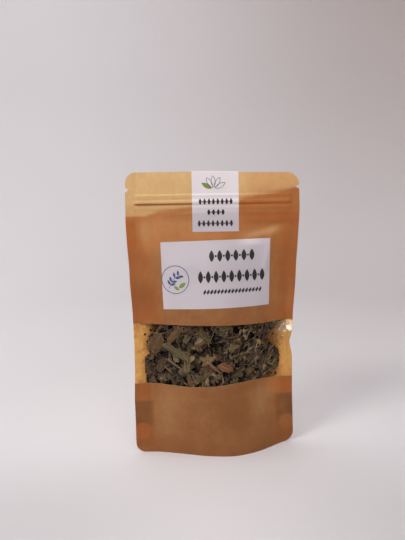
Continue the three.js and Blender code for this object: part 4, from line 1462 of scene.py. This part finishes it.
# Gaps in the heap where only deep scraps show: u, v, reach across and up.
GAPS = [(-2.6, 72.8, 3.8, 4), (-2.6, 80, 1.7, 5.5), (-41.8, 62.4, 4, 3.8), (-25.2, 63.6, 6.4, 2.5),
        (-34.6, 68, 4.6, 1.9), (-33, 79.5, 2, 4.5), (16, 85.6, 4.6, 2.8), (4, 89, 44, 1.5), (34.5, 74, 3.6, 2.2),
        (-38, 82, 2.2, 2), (-20, 47.6, 22, 1.6), (9, 55, 4.6, 2.4), (-13, 57, 2.4, 3.4), (24, 79, 2.2, 2.8),
        (-12, 70, 3.4, 1.8), (-45, 54, 2, 2.8)]
# Single crumbs at the window's ends, as (u, v).
STRAYS = [(-48.4, 80.8), (-48.1, 80.4), (42.6, 78), (43.6, 49.4), (44.2, 49.8), (41.2, 49.6), (-42.6, 85),
          (-43.4, 84.2), (-41.6, 85.6), (-44.6, 83)]


def sunk_in_gaps(u, v, inset):
    """The insets with those in the heap's gaps made deep."""
    for at_u, at_v, reach_u, reach_v in GAPS:
        inside = ((u - at_u) / reach_u) ** 2 + ((v - at_v) / reach_v) ** 2 < 1
        inset = np.where(inside, inset * 0.5 + 4.2, inset)
    return inset


class POUCH_OT_leaf_heap(bpy.types.Operator):
    """Fill the pouch: a dark core with crushed leaf flakes, rolled scraps and fine stalks on it"""

    bl_idname = "pouch.leaf_heap"
    bl_label = "Leaf heap"

    def execute(self, context):
        settings = context.scene.pouch_leaves
        random = np.random.default_rng(settings.seed)
        thickness = settings.thickness / MM
        self.core(random)
        columns, rows = 6, 5
        flat_uv = blade_prototype(random, columns, rows, "torn")[1]
        torn = [blade_prototype(random, columns, rows, "torn") for _ in range(14)]
        whole = [blade_prototype(random, columns, rows, "whole") for _ in range(8)]
        for slot, share, tint in FLAKE_TINTS:
            u, v = scatter(random, int(settings.flakes * share), 42, 94, 1.6)
            number, (left, right) = len(u), heap_edges(v)
            deep = random.random(number) < 0.5
            lengths = np.where(deep, random.uniform(4.5, 10, number), 2.8 + 5.6 * random.random(number) ** 1.8)
            room = np.minimum(u - left, right - u)
            lengths = np.minimum(lengths * (0.9 + 0.25 * (u < -4)), 2.6 + 1.5 * room)
            widths = lengths * random.uniform(0.4, 0.8, number)
            inset = np.where(deep, random.uniform(2.8, 5.4, number), random.uniform(0.5, 2.3, number))
            inset = sunk_in_gaps(u, v, inset)
            grids = lay_scraps(random, torn + whole[:4], u, v, inset, lengths, widths, 0.5)
            tints = shaded_deeper(varied(random, tint, 0.32, number), u, inset)
            colour = slot.split("_")[1]
            material = leaf_material("Dry leaf " + colour)
            flake_piece("flakes_" + colour, grids, columns, rows, flat_uv, tints, thickness, material, slot)
        self.crumbs(random, torn, columns, rows, flat_uv, thickness)
        self.streaks(random, settings, thickness)
        self.twigs(random, settings)
        return {"FINISHED"}

    def core(self, random):
        """A closed lumpy body a few millimetres behind the walls, which fills the pouch up to the shoulder."""
        piece = primitive("heap_core", bpy.ops.mesh.primitive_uv_sphere_add, segments=96, ring_count=64, radius=1)
        ball = points_of(piece)
        low, high = 6.0, 119.0
        v = (low + high) / 2 + ball[:, 2] * (high - low) / 2
        level = np.sqrt(np.clip(1 - ball[:, 2] ** 2, 0, 1))
        angle = np.arctan2(ball[:, 1], ball[:, 0])
        around = np.cos(angle)
        square = np.sign(around) * np.abs(around) ** 0.8
        reaches = []
        for outline, sign, below, over in ((HEAP_LEFT, -1, 40, 36), (HEAP_RIGHT, 1, 34, 34)):
            inner = [(at, sign * edge - CORE_MARGIN) for at, edge in outline[1:-1]]
            reaches.append(looked_up([(0, 44), (38, below), *inner, (96, over), (119, 38)], v))
        u = square * np.where(square < 0, *reaches) * np.clip(level * 3.2, 0, 1)
        lumps = 0.5 * np.sin(0.9 * u + 0.5 * v) + 0.5 * np.sin(0.7 * v - 0.6 * u + 2) + random.normal(0, 0.25, len(u))
        floor = 34.0 * np.clip(1 - (np.abs(u) / 47) ** 2.5, 0.06, 1)
        v = np.maximum(v, floor + 1.5)
        inset = CORE_INSET + 0.8 * lumps
        front, back = (stand(u, v, side, -inset)[:, 1] for side in (FRONT, BACK))
        centre, half = (front + back) / 2, np.maximum(0.2, (back - front) / 2)
        depth = np.sign(ball[:, 1]) * np.abs(np.sin(angle)) ** 0.35 * half * np.clip(level * 4, 0, 1)
        x = stand(u, v, FRONT, 0)[:, 0]
        move_points(piece, np.stack([x, centre + depth, v], -1) * MM)
        # The core's near-black colour is painted shade: the leaves further in, seen only in shade.
        deep_shade = leaf_material("Deep leaf shade", veins=0.0, roughness=0.9, tint=(0.020, 0.015, 0.010))
        piece.data.materials.append(deep_shade)
        choose(piece)
        bpy.ops.object.shade_smooth()
        ride_as(piece, "leaf_olive", "leaf_heap")

    def crumbs(self, random, prototypes, columns, rows, uv, thickness):
        """Small chips all over the heap's outline, and a few strays at the window's ends."""
        u, v = scatter(random, CRUMBS, 44, 92, 0.2)
        edge_v = random.uniform(47, 89, EDGE_CRUMBS)
        left, right = heap_edges(edge_v)
        inwards = np.abs(random.normal(0, 1.9, EDGE_CRUMBS)) + 0.3
        edge_u = np.where(random.random(EDGE_CRUMBS) < 0.5, left + inwards, right - inwards)
        stray_u, stray_v = zip(*STRAYS)
        u, v = np.concatenate([u, edge_u, stray_u]), np.concatenate([v, edge_v, stray_v])
        number = len(u)
        lengths = random.uniform(1.4, 4.2, number)
        lengths[-len(STRAYS) :] = random.uniform(1.1, 1.9, len(STRAYS))
        widths = lengths * random.uniform(0.4, 0.9, number)
        inset = random.uniform(0.5, 3.2, number)
        grids = lay_scraps(random, prototypes, u, v, inset, lengths, widths, 0.6)
        tints = shaded_deeper(varied(random, (80, 64, 46), 0.4, number), u, inset)
        material = leaf_material("Dry leaf crumbs", veins=0.2)
        flake_piece("flakes_crumbs", grids, columns, rows, uv, tints, thickness, material, "leaf_brown")

    def streaks(self, random, settings, thickness):
        """Narrow rolled scraps that show their pale edges; more of them to the right."""
        columns, rows = 7, 3
        uv = blade_prototype(random, columns, rows, "rolled")[1]
        shapes = [blade_prototype(random, columns, rows, "rolled") for _ in range(14)]
        u, v = scatter(random, settings.streaks, 44, 92, 1.5)
        keep = random.random(len(u)) < 0.12 + 0.88 * smooth((u + 10) / 40)
        u, v = u[keep], v[keep]
        number = len(u)
        lengths = random.uniform(3, 8.5, number)
        widths = random.uniform(0.5, 1.2, number)
        inset = sunk_in_gaps(u, v, random.uniform(0.4, 1.8, number))
        spin = np.where(u > 12, random.normal(0.65, 0.55, number), random.uniform(0, math.pi, number))
        grids = lay_scraps(random, shapes, u, v, inset, lengths, widths, 0.3, spin)
        light = random.random(number) < 0.4
        pale, dark = varied(random, (124, 108, 88), 0.22, number), varied(random, (76, 62, 48), 0.35, number)
        tints = shaded_deeper(np.where(light[:, None], pale, dark), u, inset)
        material = leaf_material("Dry leaf edges", veins=0.2)
        flake_piece("flakes_rolled", grids, columns, rows, uv, tints, thickness, material, "leaf_tan")

    def twigs(self, random, settings):
        """Fine stalks: thin bent rods among the flakes."""
        sides, steps = 5, 5
        u, v = scatter(random, settings.twigs, 46, 90, 3.0)
        number = len(u)
        place, across, up, outwards = film_axes(u, v)
        spin = random.uniform(0, math.pi, number)[:, None]
        heading = unit(across * np.cos(spin) + up * np.sin(spin) + outwards * random.normal(0, 0.08, (number, 1)))
        sideways = np.cross(outwards, heading)
        s = np.linspace(-0.5, 0.5, steps)
        lengths = random.uniform(4, 13, number)
        radius = random.uniform(0.16, 0.42, number)
        bow = random.normal(0, 0.6, number)
        inset = radius + random.uniform(0.45, 1.6, number)
        line = (place - outwards * inset[:, None])[:, None] + heading[:, None] * (lengths[:, None] * s)[..., None]
        line = line + sideways[:, None] * (bow[:, None] * (1 - 4 * s**2))[..., None]
        angles = np.linspace(0, 2 * math.pi, sides, endpoint=False)
        ring = outwards[:, None] * np.cos(angles)[:, None] + sideways[:, None] * np.sin(angles)[:, None]
        taper = 1 - 0.35 * (s + 0.5)
        tube = line[:, :, None] + ring[:, None] * (radius[:, None] * taper)[:, :, None, None]
        tube, _ = keep_behind_film(tube, FILM_ROOM)
        faces, base = [], np.arange(steps * sides).reshape(steps, sides)
        for k in range(number):
            grid = base + k * steps * sides
            for i in range(steps - 1):
                for j in range(sides):
                    n = (j + 1) % sides
                    faces.append((grid[i, j], grid[i, n], grid[i + 1, n], grid[i + 1, j]))
            faces.append(tuple(grid[0, ::-1]))
            faces.append(tuple(grid[-1]))
        mesh = bpy.data.meshes.new("fine_stalks")
        mesh.from_pydata((tube.reshape(-1, 3) * MM).tolist(), [], [tuple(int(x) for x in f) for f in faces])
        mesh.materials.append(material_of("Dry stalk", paint_stalk))
        piece = add_object("fine_stalks", mesh)
        point_outwards(piece)
        smooth_by_angle(piece, 60)
        ride_as(piece, "stem")


# Larger scraps right behind the film: node, slot, u, v, length, width, turn in degrees, kind, fold, tint.
SCRAPS = [
    ("leaf_olive_broad", "leaf_olive", -39.8, 75.2, 14.4, 8.4, 60, "broken", 0.2, (88, 67, 44)),
    ("leaf_tan_strip", "leaf_tan", -27.6, 81.4, 13.2, 4.0, 52, "strip", 0.5, (98, 72, 48)),
    ("leaf_green_strip", "leaf_green", -26.8, 70.6, 18.4, 4.2, -29, "strip", 0.3, (93, 83, 55)),
    ("leaf_yellow_curl", "leaf_yellow", -7.0, 80.4, 10.5, 5.8, -42, "broken", 0.5, (84, 70, 42)),
    ("leaf_green_tip", "leaf_green", 8.0, 85.6, 8.6, 5.4, 15, "curl", 0.6, (86, 77, 40)),
    ("leaf_pale_scrap", "leaf_tan", 12.8, 72.8, 6.9, 3.9, 20, "broken", 0.4, (116, 99, 64)),
    ("leaf_rust", "leaf_rust", 7.6, 59.4, 11.0, 5.4, -28, "oval", 0.25, (134, 88, 62)),
    ("leaf_grey_oval", "leaf_grey", 25.6, 64.6, 8.2, 3.6, 20, "oval", 0.5, (88, 76, 60)),
    ("leaf_brown_low", "leaf_brown", -37.2, 60.0, 9.4, 5.4, 74, "oval", 0.3, (80, 63, 46)),
]
# The flower head's sepals and tail: direction in degrees, length, width, and how many layers down.
FLOWER_PARTS = [(35, 6.4, 3.0, 0), (92, 5.6, 3.0, 1), (150, 7.0, 3.0, 2), (215, 5.6, 3.0, 3), (318, 12.5, 1.7, 0)]


def scrap_grid(random, length, width, kind, fold, columns, rows):
    """One larger scrap as a grid of points around its middle, and its UV."""
    a, b, uv = scrap_axes(columns, rows)
    if kind == "strip":
        reach = 1 - 0.2 * np.abs(a) ** 5
        end = 0.1 * b
    elif kind == "broken":
        reach = 1 - 0.45 * np.abs(a) ** 3 - 0.12 * a
        end = 0.12 * np.sin(3 * b + 1)
    else:
        reach = np.sqrt(np.clip(1 - a * a * 0.985, 0, 1)) ** 0.9 * (1 - 0.1 * a)
        end = 0 * b
    rough = 0.03 if kind == "oval" else 0.1
    jag = random.uniform(-rough, rough, (2, columns))
    jag = np.where(b < 0, jag[0][None], jag[1][None]) * np.abs(b) ** 3
    x = length / 2 * (a + end * np.abs(a) ** 2)
    y = width / 2 * b * (reach + jag)
    z = -fold * 0.5 * np.abs(y) + 0.12 * np.sin(1.6 * x + 3 * b) + 0.18 * (b > 0.6) * np.sin(2.2 * x)
    if kind == "curl":
        z = z - 0.05 * x * x * 0.4 + 0.5 * np.sin(0.8 * x + 2 * b) * 0.5
    return np.stack([x, y, z], -1).reshape(-1, 3), uv


def laid_flat(points, u, v, turn, sink):
    """A scrap's points turned by degrees and laid at a flat place, with its top sunk this far behind the film."""
    cos, sin = math.cos(math.radians(turn)), math.sin(math.radians(turn))
    flat_u = u + points[:, 0] * cos - points[:, 1] * sin
    flat_v = v + points[:, 0] * sin + points[:, 1] * cos
    place, _, _, outwards = film_axes(flat_u, flat_v)
    return place - outwards * (sink - (points[:, 2] - points[:, 2].max()))[:, None]


class POUCH_OT_leaf_scraps(bpy.types.Operator):
    """Lay the larger leaf scraps, the two stalks and the flower head against the film"""

    bl_idname = "pouch.leaf_scraps"
    bl_label = "Large scraps"

    def execute(self, context):
        random = np.random.default_rng(context.scene.pouch_leaves.seed + 40)
        columns, rows = 17, 9
        for node, slot, u, v, length, width, turn, kind, fold, tint in SCRAPS:
            points, uv = scrap_grid(random, length, width, kind, fold, columns, rows)
            grid = laid_flat(points, u, v, turn, SCRAP_ROOM - 0.1)[None]
            tint = np.array([srgb(*tint)])
            material = leaf_material("Leaf " + node[5:].replace("_", " "), veins=0.75, roughness=0.6)
            piece = flake_piece(node + "_blade", grid, columns, rows, uv, tint, 0.2, material, slot, SCRAP_ROOM, 0.75)
            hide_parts(node)
        self.stalk("stalk_long", (-32.4, 65.0), (-19.8, 56.4), 0.62, 0.8, "stem_long")
        self.stalk("stalk_short", (-16, 56), (-13.2, 50.4), 0.5, 0.4, "stem_short")
        self.flower_head(random)
        return {"FINISHED"}

    def stalk(self, name, start, end, radius, bow, node):
        """A bent woody stalk, thicker at its nodes."""
        sides, steps = 12, 16
        shape = {"vertices": sides, "radius": 1, "depth": 2, "end_fill_type": "NGON"}
        piece = primitive(name, bpy.ops.mesh.primitive_cylinder_add, **shape)
        bpy.ops.object.mode_set(mode="EDIT")
        bpy.ops.mesh.select_all(action="DESELECT")
        bpy.ops.object.mode_set(mode="OBJECT")
        for edge in piece.data.edges:
            ends = [piece.data.vertices[k].co for k in edge.vertices]
            edge.select = abs(ends[0].z - ends[1].z) > 1
        bpy.ops.object.mode_set(mode="EDIT")
        bpy.ops.mesh.select_mode(type="EDGE")
        bpy.ops.mesh.subdivide_edgering(number_cuts=steps - 1)
        bpy.ops.object.mode_set(mode="OBJECT")
        local = points_of(piece)
        s = (local[:, 2] + 1) / 2
        u = start[0] + (end[0] - start[0]) * s
        v = start[1] + (end[1] - start[1]) * s + bow * np.sin(math.pi * s)
        place, _, _, outwards = film_axes(u, v)
        along = unit(np.array([[end[0] - start[0], 0, end[1] - start[1]]]) + 0 * place)
        sideways = unit(np.cross(outwards, along))
        thick = radius * (1 - 0.25 * s + 0.22 * bell(s - 0.35, 0.05))
        centre = place - outwards * (SCRAP_ROOM + radius * 1.2)
        rod = centre + outwards * (local[:, 0] * thick)[:, None] + sideways * (local[:, 1] * thick)[:, None]
        move_points(piece, rod * MM)
        point_outwards(piece)
        piece.data.materials.append(material_of("Dry stalk", paint_stalk))
        smooth_by_angle(piece, 50)
        ride_as(piece, "stem", node)

    def flower_head(self, random):
        """A dried flower head: four pointed sepals and a tail."""
        columns, rows = 9, 5
        grids = []
        for aim, length, width, layer in FLOWER_PARTS:
            points, uv = scrap_grid(random, length, width, "oval", 0.35, columns, rows)
            points[:, 0] += length / 2 - 0.6
            grids.append(laid_flat(points, -4.8, 64.2, aim, SCRAP_ROOM - 0.05 + 0.12 * layer))
        grids = np.array(grids)
        tints = varied(random, (122, 98, 71), 0.1, len(grids))
        tints[-1] *= 1.15
        material = leaf_material("Dry flower head", veins=0.9, roughness=0.7)
        piece = flake_piece("flower_head", grids, columns, rows, uv, tints, 0.25, material, "stem", SCRAP_ROOM, 0.75)
        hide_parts("calyx")


# ---- the studio ----

CAMERA = {"place": (-7.57, -277.79, 159.43), "yaw": 0.0019, "tilt": 0.1327, "roll": -0.0171, "focal": 430.0}
IMAGE_HEIGHT, SENSOR = 540, 36.0


class POUCH_OT_studio(bpy.types.Operator):
    """Set up the pale seamless sweep, the soft lights and the camera"""

    bl_idname = "pouch.studio"
    bl_label = "Studio"

    def execute(self, context):
        self.sweep(context.scene.pouch_stage)
        self.lights(context.scene.pouch_stage)
        self.camera()
        context.scene.view_settings.view_transform = "Standard"
        return {"FINISHED"}

    def sweep(self, settings):
        """A round floor that curves up into a wall on all sides."""
        floor = grid_piece("studio_sweep", 121, 121)[0]
        places = points_of(floor)
        share = np.maximum(np.abs(places[:, 0]), np.abs(places[:, 1])) * 2
        heading = places[:, :2] / np.maximum(1e-9, np.hypot(places[:, 0], places[:, 1]))[:, None]
        curve, wall = 0.5, 1.4
        along = share * (settings.radius + curve * math.pi / 2 + wall)
        angle = np.clip((along - settings.radius) / curve, 0, math.pi / 2)
        above = np.maximum(0, along - settings.radius - curve * math.pi / 2)
        apart = np.minimum(along, settings.radius) + curve * np.sin(angle)
        height = curve * (1 - np.cos(angle)) + above
        move_points(floor, np.concatenate([heading * apart[:, None], height[:, None]], 1))
        floor.data.materials.append(material_of("Studio sweep", paint_sweep, tuple(settings.sweep)))
        choose(floor)
        bpy.ops.object.shade_smooth()

    def lights(self, settings):
        world = bpy.data.worlds.new("Soft sky")
        bpy.context.scene.world = world
        world.use_nodes = True
        sky = world.node_tree.nodes["Background"]
        sky.inputs["Color"].default_value = (1.0, 0.97, 0.985, 1)
        sky.inputs["Strength"].default_value = settings.sky
        for name, power, size, place, aim, colour in (
            ("Key", settings.key, 0.38, (-0.8, -0.65, 0.95), (0.0, 0.1, 0.08), (1, 0.985, 0.975)),
            ("Front fill", settings.fill, 0.7, (0.1, -0.8, 1.0), (0.0, 0.0, 0.05), (1, 0.985, 0.98)),
            ("Wall wash", settings.wash, 0.7, (-0.85, 0.2, 0.9), (0.0, 0.9, 0.3), (1, 0.99, 0.985)),
        ):
            lamp = bpy.data.lights.new(name, "AREA")
            lamp.energy, lamp.size, lamp.color = power, size, colour
            light = add_object(name, lamp)
            light.location = place
            light.rotation_euler = (Vector(aim) - Vector(place)).to_track_quat("-Z", "Y").to_euler()

    def camera(self):
        yaw, tilt, roll = CAMERA["yaw"], CAMERA["tilt"], CAMERA["roll"]
        ahead = Vector((math.sin(yaw) * math.cos(tilt), math.cos(yaw) * math.cos(tilt), -math.sin(tilt)))
        level = Vector((math.cos(yaw), -math.sin(yaw), 0))
        upright = level.cross(ahead)
        right = math.cos(roll) * level + math.sin(roll) * upright
        up = -math.sin(roll) * level + math.cos(roll) * upright
        data = bpy.data.cameras.new("Camera")
        data.lens = CAMERA["focal"] / IMAGE_HEIGHT * SENSOR
        data.sensor_width = SENSOR
        data.clip_start, data.clip_end = 0.01, 20
        camera = add_object("Camera", data)
        turn = Matrix((right, up, -ahead)).transposed()
        camera.matrix_world = Matrix.Translation(Vector(CAMERA["place"]) * MM) @ turn.to_4x4()
        bpy.context.scene.camera = camera


class POUCH_PT_panel(bpy.types.Panel):
    """Lists the pouch's pieces and their settings"""

    bl_idname = "POUCH_PT_panel"
    bl_label = "Herb pouch"
    bl_space_type = "VIEW_3D"
    bl_region_type = "UI"
    bl_category = "Pouch"

    def draw(self, context):
        column = self.layout.column()
        for operator in OPERATORS:
            column.operator(operator.bl_idname)
        for settings in (context.scene.pouch_paper, context.scene.pouch_leaves, context.scene.pouch_stage):
            for key in settings.__annotations__:
                column.prop(settings, key)


OPERATORS = (
    POUCH_OT_studio,
    POUCH_OT_kraft_sheets,
    POUCH_OT_film,
    POUCH_OT_gusset,
    POUCH_OT_zip,
    POUCH_OT_labels,
    POUCH_OT_leaf_heap,
    POUCH_OT_leaf_scraps,
)
CLASSES = (PaperSettings, LeafSettings, StageSettings, *OPERATORS, POUCH_PT_panel)


def register():
    for kind in CLASSES:
        bpy.utils.register_class(kind)
    bpy.types.Scene.pouch_paper = bpy.props.PointerProperty(type=PaperSettings)
    bpy.types.Scene.pouch_leaves = bpy.props.PointerProperty(type=LeafSettings)
    bpy.types.Scene.pouch_stage = bpy.props.PointerProperty(type=StageSettings)


def unregister():
    for name in ("pouch_paper", "pouch_leaves", "pouch_stage"):
        delattr(bpy.types.Scene, name)
    for kind in reversed(CLASSES):
        bpy.utils.unregister_class(kind)


def main():
    register()
    bpy.ops.pouch.studio()
    bpy.ops.pouch.kraft_sheets()
    bpy.ops.pouch.film()
    bpy.ops.pouch.gusset()
    bpy.ops.pouch.zip()
    bpy.ops.pouch.labels()
    bpy.ops.pouch.leaf_heap()
    bpy.ops.pouch.leaf_scraps()


if __name__ == "__main__":
    main()
